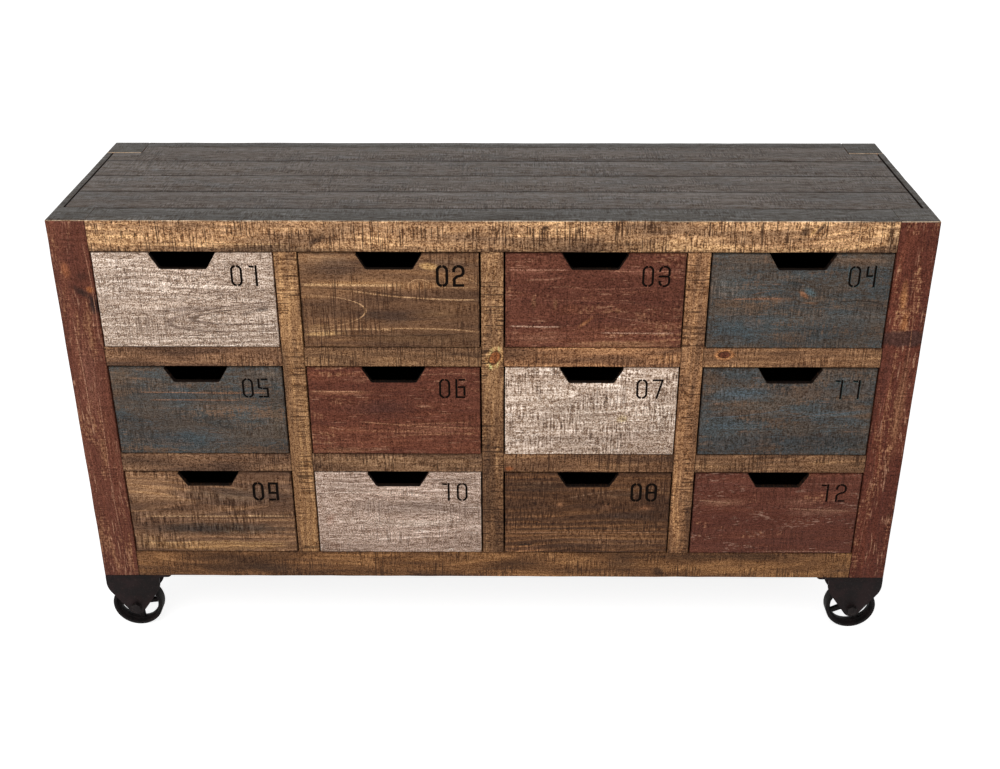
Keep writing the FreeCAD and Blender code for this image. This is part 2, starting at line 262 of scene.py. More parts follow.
def woodFinish(name, *looks):
    # Each look changes what those before it say.
    values = dict(plainLook)
    for changes in looks:
        values.update(changes)
    look = SimpleNamespace(**values)
    g = Finish(name)
    axis = "xyz".index(look.grain)
    shift = g.attribute("boardShift")
    shifted = g.vector("ADD", g.place, shift)
    local = g.vector("SUBTRACT", g.place, g.attribute("boardCentre"))

    def stretched(along, across):
        scale = [across] * 3
        scale[axis] = along
        return scale

    def swing(value, amount):
        return (value - 0.5) * amount

    # The grain wanders sideways a little, and everything that follows the grain goes with it
    sway = swing(g.noise(shifted, stretched(*look.swayScale), 1.0), look.sway)
    waved = g.vector("ADD", shifted, g.vector("MULTIPLY", sway, stretched(0.0, 1.0)))

    def grained(scale, detail=2.0, rough=0.55, place=waved):
        return g.noise(place, stretched(*scale), detail, rough)

    # One field of tone from clouds, fibres and growth rings
    fibre = grained(look.fibreScale, 3.0, 0.6)
    fine = grained(look.fineScale, 0.0)
    hair = grained(look.hairScale, 0.0)
    tick = grained(look.tickScale, 0.0, 0.5, shifted)
    speck = g.noise(shifted, [look.speckScale] * 3, 0.5, 0.5)
    patch = grained(look.patchScale, 3.0, 0.6)
    broad = grained(look.broadScale)
    region = grained(look.regionScale, place=shifted)
    field = 0.5 + swing(patch, look.patch) + swing(broad, look.broad) + swing(fibre, look.fibre)

    # Growth rings round a pith that runs at a slant behind the face, so they make arches
    sides = g.split(local)
    acrossPart, deepPart = (sides[i] for i in ((2, 1), (0, 2), (0, 1))[axis])
    acrossPart = acrossPart + sway * 1.2 + (g.split(shift)[0] * 0.012 - (look.ringPlace[0] + 0.018))
    deepPart = sides[axis] * look.ringTilt + (deepPart * 0.6 + look.ringPlace[1])
    radius = g.math("SQRT", acrossPart * acrossPart + deepPart * deepPart)
    turn = g.math("FRACT", radius / look.ringWidth)
    ring = g.span(turn, 0.35, 0.93) * g.span(turn, 0.95, 1.0, 1.0, 0.0)
    field = field + (ring - 0.3) * g.span(broad, 0.38, 0.62, 0.3, 1.5) * look.growth

    def toned(middle):
        # Five tones of one colour, dark to light
        ramp = g.node("ShaderNodeValToRGB")
        g.put(ramp.inputs[0], field)
        stops = ramp.color_ramp.elements
        stops[0].position, stops[1].position = toneStops[0][0], toneStops[-1][0]
        for place, share in toneStops[1:-1]:
            stops.new(place)
        for stop, (place, share) in zip(stops, toneStops):
            shares = look.drop if share < 0 else look.rise
            stop.color = tone(*[min(255, c * (1 + share * s)) for c, s in zip(middle, shares)])
        return ramp.outputs[0]

    colour = toned(look.middle)

    def paint(amount, other, blend="MIX"):
        nonlocal colour
        colour = g.mix(amount, colour, other, blend)

    if look.wash:
        wash = grained(look.washScale, 4.0, 0.65) * 0.8 + fine * 0.2
        wash = g.span(wash, look.washLevel - look.washSoft, look.washLevel + look.washSoft)
        paint(wash * look.washAmount, toned(look.wash))
    bare = None
    if look.bare:
        bare = grained(look.bareScale, 4.0, 0.68) * 0.5 + fibre * 0.2 + tick * 0.15 + fine * 0.15
        bare = g.span(bare, look.bareLevel - look.bareSoft, look.bareLevel + look.bareSoft)
        paint(bare, toned(look.bare))
    if look.scratchColour:
        scratch = grained(look.scratchScale, 1.0)
        scratch = g.span(scratch, look.scratchLevel, look.scratchLevel + look.scratchSoft)
        scratch = scratch * g.span(grained(look.scratchRegionScale), 0.48, 0.6)
        paint(scratch * look.scratchAmount, tone(*look.scratchColour))

    # Bands, lines and arches of the grain, and spots, at their own places
    ragged = swing(fine, 0.7) + swing(patch, 0.8)
    parts = g.split(g.place)
    sideAt = parts[2 if axis == 0 else 0] + sway * 0.35
    for place, half, bandColour, strength in look.bands:
        off = abs(sideAt - place) / half
        paint(g.span(off + ragged, 0.45, 1.1, strength, 0.0), toned(bandColour))

    def reach(x, height, wide, tall, turned):
        # How far out a point lies in a turned ellipse, whose edge is at 1
        mapping = g.node("ShaderNodeMapping", vector_type="TEXTURE")
        g.put(mapping.inputs["Vector"], g.place)
        mapping.inputs["Location"].default_value = (x, look.markAt, height)
        mapping.inputs["Rotation"].default_value = (0.0, -math.radians(turned), 0.0)
        mapping.inputs["Scale"].default_value = (wide, look.markDepth, tall)
        return g.length(mapping.outputs[0])

    wander = swing(g.noise(g.place, [look.blotScale] * 3, 3.0, 0.6), 1.1) + swing(fibre, 0.7)
    for *ellipse, spotColour, strength, soft in look.spots:
        out = reach(*ellipse) + wander * (0.3 + soft * 0.7)
        paint(g.span(out, 1.0 - soft, 1.0 + soft * 0.4, strength, 0.0), toned(spotColour))
    worn = g.span(speck, 0.3, 0.55, 0.45, 1.0)
    for x0, y0, x1, y1, bow, half, lineColour, strength in look.lines:
        share = (parts[axis] - x0) / (x1 - x0)
        middle = share * (y1 - y0) + y0 + share * (1.0 - share) * (4 * bow)
        off = abs(sideAt - middle) / half
        line = g.span(off + ragged, 0.5, 1.3, strength, 0.0) * worn
        ends = g.span(share, -0.03, 0.08) * g.span(share, 0.9, 1.03, 1.0, 0.0)
        paint(line * ends, tone(*lineColour))
    for *ellipse, thick, archColour, strength in look.arches:
        off = abs(reach(*ellipse) - 1.0) / thick + ragged
        paint(g.span(off, 0.4, 1.3, strength, 0.0) * worn, tone(*archColour))
    for *ellipse, halo, core in look.knots:
        out = reach(*ellipse) + wander * 0.16
        dark = [c * 0.6 for c in core]
        eye = [c * 0.8 for c in core]
        for low, high, knotColour, strength in ((0.9, 1.35, halo, 0.9), (0.66, 0.78, dark, 0.9),
                                                (0.52, 0.64, core, 0.95), (0.1, 0.4, eye, 0.8)):
            paint(g.span(out, low, high, strength, 0.0), toned(knotColour))

    # Fine grain, saw marks and specks brighten and darken all of it
    lively = g.span(region, look.cutRegion - 0.05, look.cutRegion + 0.14, look.tick * 0.1, look.tick)
    grit = (tick - 0.5) * lively + swing(fine, look.fine) + swing(hair, look.hair) + swing(speck, look.speck)
    grit = g.vector("ADD", g.vector("MULTIPLY", grit, (0.85, 1.0, 1.15)), white)
    paint(1.0, g.vector("MAXIMUM", grit, (0.2, 0.2, 0.2)), "MULTIPLY")

    # Dark saw cuts and pores
    cut = g.span(grained(look.cutScale, 0.0, 0.5, shifted), look.cutLevel, look.cutLevel + look.cutSoft)
    cut = cut * g.span(region, look.cutRegion - 0.05, look.cutRegion + 0.08)
    paint(cut * look.cutAmount, tone(*look.cutColour))
    pore = g.span(g.noise(shifted, [look.poreScale] * 3, 1.0), look.poreLevel, look.poreLevel + look.poreSoft)
    pore = pore * g.span(grained(look.poreRegionScale), look.poreRegion - 0.08, look.poreRegion + 0.12)
    paint(pore * look.poreAmount, tone(*look.poreColour))

    if look.marked:
        # Edge colour: the second nearest pair of faces says how far an edge is. A pale edgeColour is rubbed
        # paint, and the dark ones of the frame and the fronts are painted shade in the gaps between boards
        gaps = g.split(g.vector("SUBTRACT", g.attribute("boardHalf"), g.vector("ABSOLUTE", local)))
        larger = g.math("MAXIMUM", gaps[0], gaps[1])
        edge = g.math("MAXIMUM", g.math("MINIMUM", gaps[0], gaps[1]), g.math("MINIMUM", larger, gaps[2]))
        edge = edge + swing(grained(look.edgeBreakScale, 3.0), look.edgeBreak)
        paint(g.span(edge, 0.0, look.edgeWidth, look.edgeAmount, 0.0), tone(*look.edgeColour))
        paint(1.0, g.attribute("boardTint"), "MULTIPLY")
    # Painted shade: darker towards the floor
    if look.lower:
        tint, fullAt, goneAt = look.lower
        paint(g.span(parts[2], fullAt, goneAt, 1.0, 0.0), (*tint, 1.0), "MULTIPLY")

    height = tick * 0.5 + fine * 0.5 - (cut + pore) * 0.3
    if bare is not None:
        height = height - bare * 0.1
    rough = g.span(fibre, 0.35, 0.65, look.rough - 0.07, look.rough + 0.12)
    return g.close(colour, rough, height, look.relief, look.reliefReach, Specular_IOR_Level=0.14)


# Boards

boardShape = {
    "bevel": 1.3 * mm,
    "wander": 0.55 * mm,      # how far a worn edge moves in, at most
    "cell": 38 * mm,          # distance between cuts along a board
    "edgeZone": 2.5 * mm,     # how near a face a point has to be to count as its edge
}


def sharpEdges(bm, above=50):
    return [e for e in bm.edges if len(e.link_faces) == 2 and e.calc_face_angle(0.0) > math.radians(above)]


def level(edge, axis):
    return abs(edge.verts[0].co[axis] - edge.verts[1].co[axis]) < 1e-6


def rounded(bm, edges, offset, segments=2):
    bmesh.ops.bevel(bm, geom=edges, offset=offset, affect="EDGES", segments=segments, profile=0.5,
                    material=-1, clamp_overlap=True)
    return bm


def block(low, high):
    bm = bmesh.new()
    bmesh.ops.create_cube(bm, size=1.0)
    bmesh.ops.scale(bm, vec=high - low, verts=bm.verts)
    bmesh.ops.translate(bm, vec=(low + high) / 2, verts=bm.verts)
    return bm


def slab(outline, push):
    # One face, and the same face moved by push, with walls between them.
    bm = bmesh.new()
    face = bm.faces.new([bm.verts.new(point) for point in outline])
    grown = bmesh.ops.extrude_face_region(bm, geom=[face])["geom"]
    bmesh.ops.translate(bm, vec=push, verts=[v for v in grown if isinstance(v, bmesh.types.BMVert)])
    bmesh.ops.recalc_face_normals(bm, faces=bm.faces)
    return bm


def longWay(low, high):
    sizes = high - low
    return max(range(3), key=lambda i: sizes[i])


def cutAcross(bm, low, high, axis, cell):
    # Plane cuts every cell or so along one axis.
    count = max(1, round((high[axis] - low[axis]) / cell))
    for i in range(1, count):
        place = Vector(low)
        place[axis] = low[axis] + (high[axis] - low[axis]) * i / count
        normal = Vector((0, 0, 0))
        normal[axis] = 1
        geometry = bm.verts[:] + bm.edges[:] + bm.faces[:]
        bmesh.ops.bisect_plane(bm, geom=geometry, dist=1e-6, plane_co=place, plane_no=normal)


def wearEdges(bm, low, high, amount, axes=(0, 1, 2)):
    # Moves the outer points in a little, each by its own noise, so no edge is ruler straight.
    for vert in bm.verts:
        for axis in axes:
            wave = noise.noise(vert.co * 23 + Vector((axis * 7.1, 3.3, low[0] * 41)))
            move = amount * min(1.0, abs(wave) * 2.2)
            if vert.co[axis] - low[axis] < boardShape["edgeZone"]:
                vert.co[axis] += move
            elif high[axis] - vert.co[axis] < boardShape["edgeZone"]:
                vert.co[axis] -= move


def boardMarks(low, high, index=0, tint=white):
    # A board's middle, half size, pattern shift and tint.
    middle = (low + high) / 2
    shift = [3 * noise.cell(middle * 61 + Vector((*offset, index))) for offset in ((1, 0), (7, 3), (2, 9))]
    return {"boardCentre": middle, "boardHalf": (high - low) / 2, "boardShift": shift, "boardTint": tint}


def markBoard(bm, *marks):
    # Stores a board's marks on its points, for the finishes.
    for name, value in boardMarks(*marks).items():
        layer = bm.verts.layers.float_vector.get(name) or bm.verts.layers.float_vector.new(name)
        for vert in bm.verts:
            vert[layer] = value


def boardMesh(low, high, index=0, wander=boardShape["wander"], tint=white, material=0):
    low, high = Vector(low), Vector(high)
    bm = block(low, high)
    cutAcross(bm, low, high, longWay(low, high), boardShape["cell"])
    rounded(bm, sharpEdges(bm), min(boardShape["bevel"], min(high - low) * 0.2))
    wearEdges(bm, low, high, wander)
    markBoard(bm, low, high, index, tint)
    for face in bm.faces:
        face.material_index = material
    return bm


def joined(meshes):
    whole = bmesh.new()
    for bm in meshes:
        scratch = bpy.data.meshes.new("scratch")
        bm.to_mesh(scratch)
        bm.free()
        whole.from_mesh(scratch)
        bpy.data.meshes.remove(scratch)
    return whole


def finished(name, bm, materials, body, node, angle=38):
    mesh = bpy.data.meshes.new(name)
    bmesh.ops.recalc_face_normals(bm, faces=bm.faces)
    bm.to_mesh(mesh)
    bm.free()
    for material in materials:
        mesh.materials.append(material)
    mesh.shade_smooth()
    mesh.set_sharp_from_angle(angle=math.radians(angle))
    piece = bpy.data.objects.new(name, mesh)
    bpy.context.scene.collection.objects.link(piece)
    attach(piece, body)
    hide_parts(node)
    return piece


def solidBoxes(node):
    # The box of each loose solid in a CAD node.
    bm = bmesh.new()
    bm.from_mesh(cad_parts[node].data)
    bmesh.ops.remove_doubles(bm, verts=bm.verts, dist=1e-5)
    left = set(bm.verts)
    boxes = []
    while left:
        island = []
        waiting = [left.pop()]
        while waiting:
            vert = waiting.pop()
            island.append(vert.co.copy())
            near = {edge.other_vert(vert) for edge in vert.link_edges} & left
            left -= near
            waiting.extend(near)
        boxes.append([Vector([end(co[i] for co in island) for i in range(3)]) for end in (min, max)])
    bm.free()
    return sorted(boxes, key=lambda box: tuple(box[0]))


def boardsFrom(node, name, materials, pick=None, tints=None):
    # A board for each solid of a CAD node. pick chooses the board's material from its box.
    boards = [boardMesh(low, high, index, tint=tints[index] if tints else white,
                        material=pick(low, high) if pick else 0)
              for index, (low, high) in enumerate(solidBoxes(node))]
    finished(name, joined(boards), materials, "carcass", node)


def dressed(nodes, material):
    # CAD nodes that keep their own shape, in a finish.
    for node in nodes:
        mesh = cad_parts[node].data
        mesh.materials.clear()
        mesh.materials.append(material)


# Frame of posts and rails

postLow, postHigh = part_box("post_front_left")
topZ = postHigh.z
frontY = postLow.y
leftX = postLow.x
topFace = topZ - 2 * mm


def placed(own, left=leftX, top=topZ, widen=1.0):
    # A look whose marks are given in mm, x to the right of left and y down from top. A line's bow goes down
    # on a board that lies, and to the right on one that stands.
    look = dict(own)
    for key in ("spots", "arches", "knots"):
        look[key] = [(left + x * mm, top - y * mm, wide * mm, tall * mm, *rest)
                     for x, y, wide, tall, *rest in own.get(key, ())]
    look["bands"] = [(top - y * mm, half * mm, *rest) for y, half, *rest in own.get("bands", ())]
    look["lines"] = []
    for x0, y0, x1, y1, bow, half, *rest in own.get("lines", ()):
        ends = [left + x0 * mm, top - y0 * mm, left + x1 * mm, top - y1 * mm, -bow * mm]
        if own.get("grain") == "z":
            ends = [ends[1], ends[0], ends[3], ends[2], bow * mm]
        look["lines"].append((*ends, half * widen * mm, *rest))
    return look


frameLook = {
    "middle": (142, 104, 73),
    "drop": (0.32, 0.33, 0.31),
    "rise": (0.30, 0.35, 0.35),
    "broad": 1.6,
    "broadScale": (5.0, 26.0),
    "fine": 1.3,
    "tick": 2.0,
    "speck": 3.0,
    "cutAmount": 0.75,
    "cutRegion": 0.45,
    # Dark edges: painted shade in the gaps between the frame's boards and round the drawers
    "edgeColour": (70, 46, 30),
    "edgeAmount": 0.45,
    "edgeWidth": 0.0018,
}
# Painted shade for the mullions: darker towards the floor
paintedShadeBelow = ((0.80, 0.78, 0.76), 0.16, 0.74)
greyLook = {
    "middle": (98, 89, 83),
    "drop": (0.16, 0.16, 0.16),
    "rise": (0.11, 0.12, 0.12),
    "fibre": 0.8,
    "fibreScale": (4.0, 80.0),
    "fine": 1.4,
    "fineScale": (60.0, 260.0),
    "hair": 0.7,
    "hairScale": (7.0, 150.0),
    "growth": 0.2,
    "tick": 1.7,
    "speck": 1.3,
    "cutColour": (60, 55, 52),
    "cutAmount": 0.5,
    "poreColour": (60, 54, 50),
    "poreAmount": 0.5,
    "edgeColour": (40, 36, 34),
    "edgeAmount": 0.9,
    "edgeWidth": 0.0032,
    "edgeBreak": 0.002,
    "wash": (88, 85, 83),
    "washAmount": 0.55,
}
coolGrey = {
    **greyLook,
    "middle": (84, 80, 76),
    "wash": (94, 89, 84),
    "cutAmount": 0.3,
    "edgeColour": (120, 108, 96),
    "edgeAmount": 0.3,
    "edgeWidth": 0.002,
    "edgeBreak": 0.008,
}
redLook = {
    "middle": (107, 61, 45),
    "drop": (0.16, 0.21, 0.20),
    "rise": (0.24, 0.32, 0.31),
    "bare": (146, 100, 72),
    "bareLevel": 0.585,
    "cutColour": (66, 36, 26),
    "cutAmount": 0.35,
    "scratchColour": (180, 132, 104),
    "scratchAmount": 0.5,
    "scratchLevel": 0.62,
    "poreColour": (64, 34, 24),
    "poreAmount": 0.35,
    # Dark edges: painted shade in the gaps next to the posts and the red fronts
    "edgeColour": (60, 30, 22),
    "edgeAmount": 0.5,
    "fine": 1.2,
    "tick": 0.9,
    "growth": 0.14,
}


def greyTopped(bm, worn=1):
    # Faces that look up at the top of a board take the grey of the top, and its front edge the pale one.
    for face in bm.faces:
        if face.normal.z > 0.2 and face.calc_center_median().z > topFace:
            face.material_index = worn if face.normal.z < 0.97 and face.normal.y < -0.2 else 1


def frameBoard(node, name, materials, tint=white):
    # A second material is for the upper face, and a third for the pale edge in front of it.
    bm = boardMesh(*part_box(node), tint=tint)
    if len(materials) > 1:
        greyTopped(bm, len(materials) - 1)
    finished(name, bm, materials, "carcass", node)


railGrey = woodFinish("coolGreyStain", coolGrey)
paleTopEdge = woodFinish("paleTopEdge", coolGrey, {
    "middle": (206, 178, 148), "drop": (0.5, 0.5, 0.5), "rise": (0.2, 0.2, 0.2), "wash": None,
})
redPostLeft = woodFinish("redPostLeft", redLook, placed({
    "grain": "z", "middle": (109, 62, 47), "bareLevel": 0.575, "markAt": frontY, "markDepth": 0.05,
    "scratchAmount": 0.75, "scratchLevel": 0.59,
    "spots": (
        (64, 158, 12, 26, 10, (48, 34, 30), 0.95, 0.7),
        (46, 134, 18, 8, -40, (58, 38, 31), 0.9, 0.7),
        (60, 128, 8, 7, -30, (158, 96, 56), 0.9, 0.6),
        (50, 104, 14, 10, 0, (66, 40, 31), 0.6, 0.9),
        (22, 92, 8, 16, 10, (164, 100, 66), 0.7, 0.8),
        (34, 300, 20, 90, 0, (120, 76, 62), 0.5, 0.9),
    ),
    "lines": (
        (58, 40, 62, 230, 4, 0.9, (188, 134, 106), 0.6),
        (20, 180, 24, 420, 3, 0.9, (192, 142, 112), 0.6),
        (46, 330, 44, 640, -3, 0.9, (184, 132, 104), 0.6),
    ),
}))
redPostRight = woodFinish("redPostRight", redLook, placed({
    "grain": "z", "middle": (97, 50, 37), "markAt": frontY, "markDepth": 0.05,
    "scratchAmount": 0.7, "scratchLevel": 0.6,
    "spots": (
        (1480, 140, 7, 30, 2, (176, 116, 74), 0.8, 0.9),
        (1488, 190, 7, 30, -3, (170, 108, 68), 0.7, 0.9),
        (1502, 360, 10, 100, 0, (128, 84, 60), 0.7, 0.9),
        (1470, 300, 14, 80, 0, (92, 52, 42), 0.5, 0.9),
        (1490, 219, 60, 17, 0, (70, 44, 38), 0.9, 0.3),
    ),
    "lines": (
        (1496, 120, 1500, 420, 6, 0.9, (176, 122, 90), 0.6),
        (1484, 260, 1488, 560, -8, 0.9, (172, 116, 84), 0.6),
        (1470, 380, 1466, 690, 4, 0.9, (150, 102, 78), 0.5),
    ),
}))
for corner in corners:
    face = redPostLeft if corner.endswith("left") else redPostRight
    frameBoard("post_" + corner, "post_painted_" + corner, [face, railGrey, paleTopEdge])
print("posts made")

topRailWood = woodFinish("topRailWood", frameLook, placed({
    "middle": (190, 144, 103),
    "cutAmount": 0.85,
    "cutRegion": 0.42,
    "tick": 2.4,
    "spots": (
        (454, 40, 16, 6, 38, (84, 62, 50), 0.8, 0.9),
        (470, 30, 10, 4, 50, (92, 68, 52), 0.7, 0.9),
        (852, 14, 7, 5, 25, (58, 38, 26), 0.95, 0.5),
        (852, 22, 12, 10, 60, (112, 80, 56), 0.5, 0.9),
        (1296, 18, 8, 13, -20, (76, 52, 36), 0.9, 0.7),
        (1322, 12, 14, 3.5, 55, (70, 46, 30), 0.9, 0.6),
        (1310, 18, 10, 3, 55, (214, 168, 112), 0.9, 0.6),
        (1446, 30, 14, 30, 0, (104, 80, 62), 0.6, 0.9),
        (360, 52, 120, 10, 0, (110, 84, 62), 0.7, 0.9),
        (1000, 44, 160, 12, 0, (128, 94, 66), 0.6, 0.9),
        (140, 30, 100, 14, 0, (190, 146, 104), 0.6, 0.9),
    ),
    "bands": ((60, 12, (120, 88, 62), 0.6),),
    "lines": (
        (110, 46, 420, 44, -2, 0.9, (222, 178, 126), 0.6),
        (640, 20, 1000, 24, 2, 0.8, (104, 74, 50), 0.6),
        (900, 56, 1400, 50, -2, 0.9, (212, 168, 116), 0.5),
    ),
}))
lowRailWood = woodFinish("bottomRailWood", frameLook, placed({
    "middle": (121, 83, 53),
    "patch": 1.6,
    "spots": (
        (1082, 722, 10, 12, 40, (58, 38, 26), 0.8, 0.7),
        (330, 716, 50, 10, 0, (66, 48, 36), 0.7, 0.9),
        (1010, 705, 40, 12, 0, (70, 50, 38), 0.6, 0.9),
    ),
}))
backRailWood = woodFinish("backRailWood", frameLook)
frameBoard("rail_front_top", "rail_top_front", [topRailWood, railGrey, paleTopEdge])
frameBoard("rail_front_bottom", "rail_bottom_front", [lowRailWood])
frameBoard("rail_back_top", "rail_top_back", [backRailWood, railGrey])
frameBoard("rail_back_bottom", "rail_bottom_back", [backRailWood])

mullionWood = woodFinish("mullionWood", frameLook, placed({
    "grain": "z",
    "middle": (163, 120, 83),
    "lower": paintedShadeBelow,
    "knots": ((766, 259, 14.5, 21, -28, (240, 184, 122), (172, 104, 60)),),
}))
mullionTints = ((0.96, 0.96, 0.95), (0.67, 0.65, 0.67), (1.0, 0.96, 0.97))
for index, tint in enumerate(mullionTints, 1):
    frameBoard("mullion_%d" % index, "mullion_post_%d" % index, [mullionWood], tint=tint)

midRailWood = woodFinish("midRailWood", frameLook, placed({
    "middle": (134, 97, 69),
    "spots": (
        (792, 490, 10, 5, 0, (180, 104, 58), 0.8, 0.8),
    ),
    "knots": ((1176, 252, 15.5, 9.5, 0, (184, 126, 82), (106, 58, 40)),),
}))
midRailTints = {
    1: ((1.0, 1.0, 1.05), (0.97, 0.98, 0.95), (1.38, 1.28, 1.2), (1.14, 1.12, 1.08)),
    2: ((0.88, 0.9, 0.96), (0.80, 0.82, 0.86), (0.86, 0.84, 0.83), (0.94, 0.94, 0.93)),
}
for index, tints in midRailTints.items():
    boardsFrom("mid_rails_%d" % index, "rails_under_row_%d" % index, [midRailWood], tints=tints)
print("rails made")


# Top of four planks, and the sides

plankShape = {"bevel": 2.0 * mm, "wander": 0.7 * mm, "cell": 30 * mm, "postGap": 1 * mm}
topGrey = woodFinish("topGreyStain", greyLook)
endX = abs(postHigh.x) - plankShape["postGap"]
stepY = abs(postHigh.y) - plankShape["postGap"]


def plankEdge(low, high, y, step):
    # A long edge of a plank, from left to right. One past step is cut out at its ends, round the posts.
    if abs(y) < abs(step):
        return [(low.x, y), (high.x, y)]
    return [(low.x, step), (-endX, step), (-endX, y), (endX, y), (endX, step), (high.x, step)]


for index in range(1, 5):
    node = "top_plank_%d" % index
    low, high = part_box(node)
    outline = plankEdge(low, high, low.y, -stepY) + plankEdge(low, high, high.y, stepY)[::-1]
    bm = slab([(x, y, low.z) for x, y in outline], (0, 0, high.z - low.z))
    cutAcross(bm, low, high, 0, plankShape["cell"])
    rounded(bm, sharpEdges(bm), plankShape["bevel"])
    wearEdges(bm, low, high, plankShape["wander"])
    markBoard(bm, low, high, index)
    finished("plank_top_%d" % index, bm, [topGrey], "carcass", node)

sideWood = woodFinish("sideWood", frameLook, {"grain": "y", "middle": (122, 90, 64)})
# The inward faces of the side boards are near black: painted shade in the gap beside the top planks
sideInnerShade = woodFinish("sideInnerWood", frameLook, {"grain": "y", "middle": (30, 23, 19), "edgeAmount": 0.0})
sideBoards = 4
for side in ("left", "right"):
    node = "side_panel_" + side
    low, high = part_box(node)
    levels = [low.z + (high.z - low.z) * i / sideBoards for i in range(sideBoards + 1)]
    bm = joined([boardMesh((low.x, low.y, levels[i]), (high.x, high.y, levels[i + 1]), i)
                 for i in range(sideBoards)])
    greyTopped(bm)
    # Faces that look inward take the near-black inner wood, painted shade
    for face in bm.faces:
        if face.normal.x * (low.x + high.x) < 0 and abs(face.normal.x) > 0.5:
            face.material_index = 2
    finished("side_boards_" + side, bm, [sideWood, railGrey, sideInnerShade], "carcass", node)
print("top and sides made")


# Inside wood: boards that are seen only when a drawer is open, or from behind and below. Most are near black,
# painted shade, so that the inside seen through the notches stays dark

insideLook = {
    "middle": (40, 30, 24),
    "cutAmount": 0.3,
    "edgeColour": (70, 54, 42),
    "edgeAmount": 0.3,
    "rough": 0.72,
}
insideX, insideY, insideZ = [
    woodFinish("insideWood" + way, insideLook, {"grain": grain})
    for way, grain in (("Wide", "x"), ("Deep", "y"), ("Tall", "z"))
]
backWood = woodFinish("backPanelWood", insideLook, {"middle": (76, 59, 46)})
insidePlain = woodFinish("insideWoodPlain", insideLook, {"grain": "y", "marked": False})
boardsFrom("side_rails", "rails_side", [insideX, insideY, insideZ], pick=longWay)
boardsFrom("partitions", "partition_boards", [insideY])
boardsFrom("back_panel", "panel_back", [backWood])
dressed(("bottom_panel", "drawer_runners"), insidePlain)


# Drawers

frontShape = {
    "bevel": 1.4 * mm,
    "wander": 0.45 * mm,
    "cuts": 7,
    "notchTop": 117 * mm,
    "notchBottom": 81 * mm,
    "notchDepth": 30 * mm,
    "topRound": 3.2 * mm,      # how much the corners of the notch are taken back
    "bottomRound": 2.56 * mm,
    "sideGap": 2.5 * mm,       # to the opening
    "topGap": 2 * mm,
    "lineWidth": 1.3,          # of each light or dark line, for each 1 given
}
numeralShape = {
    "depth": 1.3 * mm,
    "lead": 2 * mm,                        # how far in front of the face a stroke's cutter starts
    "stroke": 4.0 * mm,
    "boldStroke": 5.2 * mm,
    "bold": (2, 8, 9),
    "endRun": 0.35,                        # how far a stroke's ends run on, in strokes
    "fromRight": (75 * mm, 46.5 * mm),     # left edge of each figure's centre lines
    "leadingOne": -3,                      # mm that a 1 in front moves
    "below": 62.4 * mm,                    # foot of the centre lines, below the opening's top
}
numbers = ((1, 2, 3, 4), (5, 6, 7, 11), (9, 10, 8, 12))


def arc(x, y, radius, start, end, steps=8):
    turns = [math.radians(start + (end - start) * i / steps) for i in range(steps + 1)]
    return [(x + radius * math.cos(a), y + radius * math.sin(a)) for a in turns]


# Centre lines of the stencil figures, in mm from the lower left corner of a figure 16.5 by 36.5
figures = {
    "0": (
        arc(8.25, 28.25, 8.25, 106, 180) + arc(8.25, 8.25, 8.25, 180, 254),
        arc(8.25, 28.25, 8.25, 74, 0) + arc(8.25, 8.25, 8.25, 0, -74),
    ),
    "1": ([(14.3, 0), (14.3, 36.5)], [(3.5, 35.6), (10, 35.0)]),
    "2": (
        [(0, 27)] + arc(8.25, 28.25, 8.25, 175, 125),
        arc(8.25, 28.25, 8.25, 100, 0) + [(16.5, 23.5), (13.5, 19.4), (6, 17.6), (0.8, 13), (0.8, 0)],
        [(5, 0.8), (16, 0.8)],
    ),
    "3": (
        [(0, 28)] + arc(8.25, 28.25, 8.25, 175, 128),
        arc(8.25, 28.25, 8.25, 100, 0) + [(16.5, 21), (14, 18.2), (16.5, 15.5)]
        + arc(8.25, 8.25, 8.25, 0, -100),
        [(-1, 18.2), (11, 18.2)],
        arc(8.25, 8.25, 8.25, -128, -175) + [(0, 9)],
    ),
    "4": ([(1, 36.5), (1, 19.5), (9.8, 19.5)], [(14.5, -0.5), (14.5, 38)]),
    "5": (
        [(0, 36.5), (0, 19.5), (4.4, 18)], [(5.5, 36.3), (15.5, 36.3)],
        [(8.2, 17.5), (15.5, 17.5), (15.5, 0.8), (8, 0.8)], [(0, 0.8), (4.4, 0.8)],
    ),
    "6": (
        [(16, 36.3), (6, 36.3)], [(1, 36.3), (1, 0.8), (15.5, 0.8)], [(15.5, 5), (15.5, 21.5), (5, 21.5)],
    ),
    "7": ([(0, 36.3), (16.3, 36.3), (7, 0)],),
}
figures["8"] = figures["0"] + ([(2, 18.2), (14.5, 18.2)],)
figures["9"] = tuple([(16.5 - x, 36.5 - y) for x, y in line] for line in figures["6"])


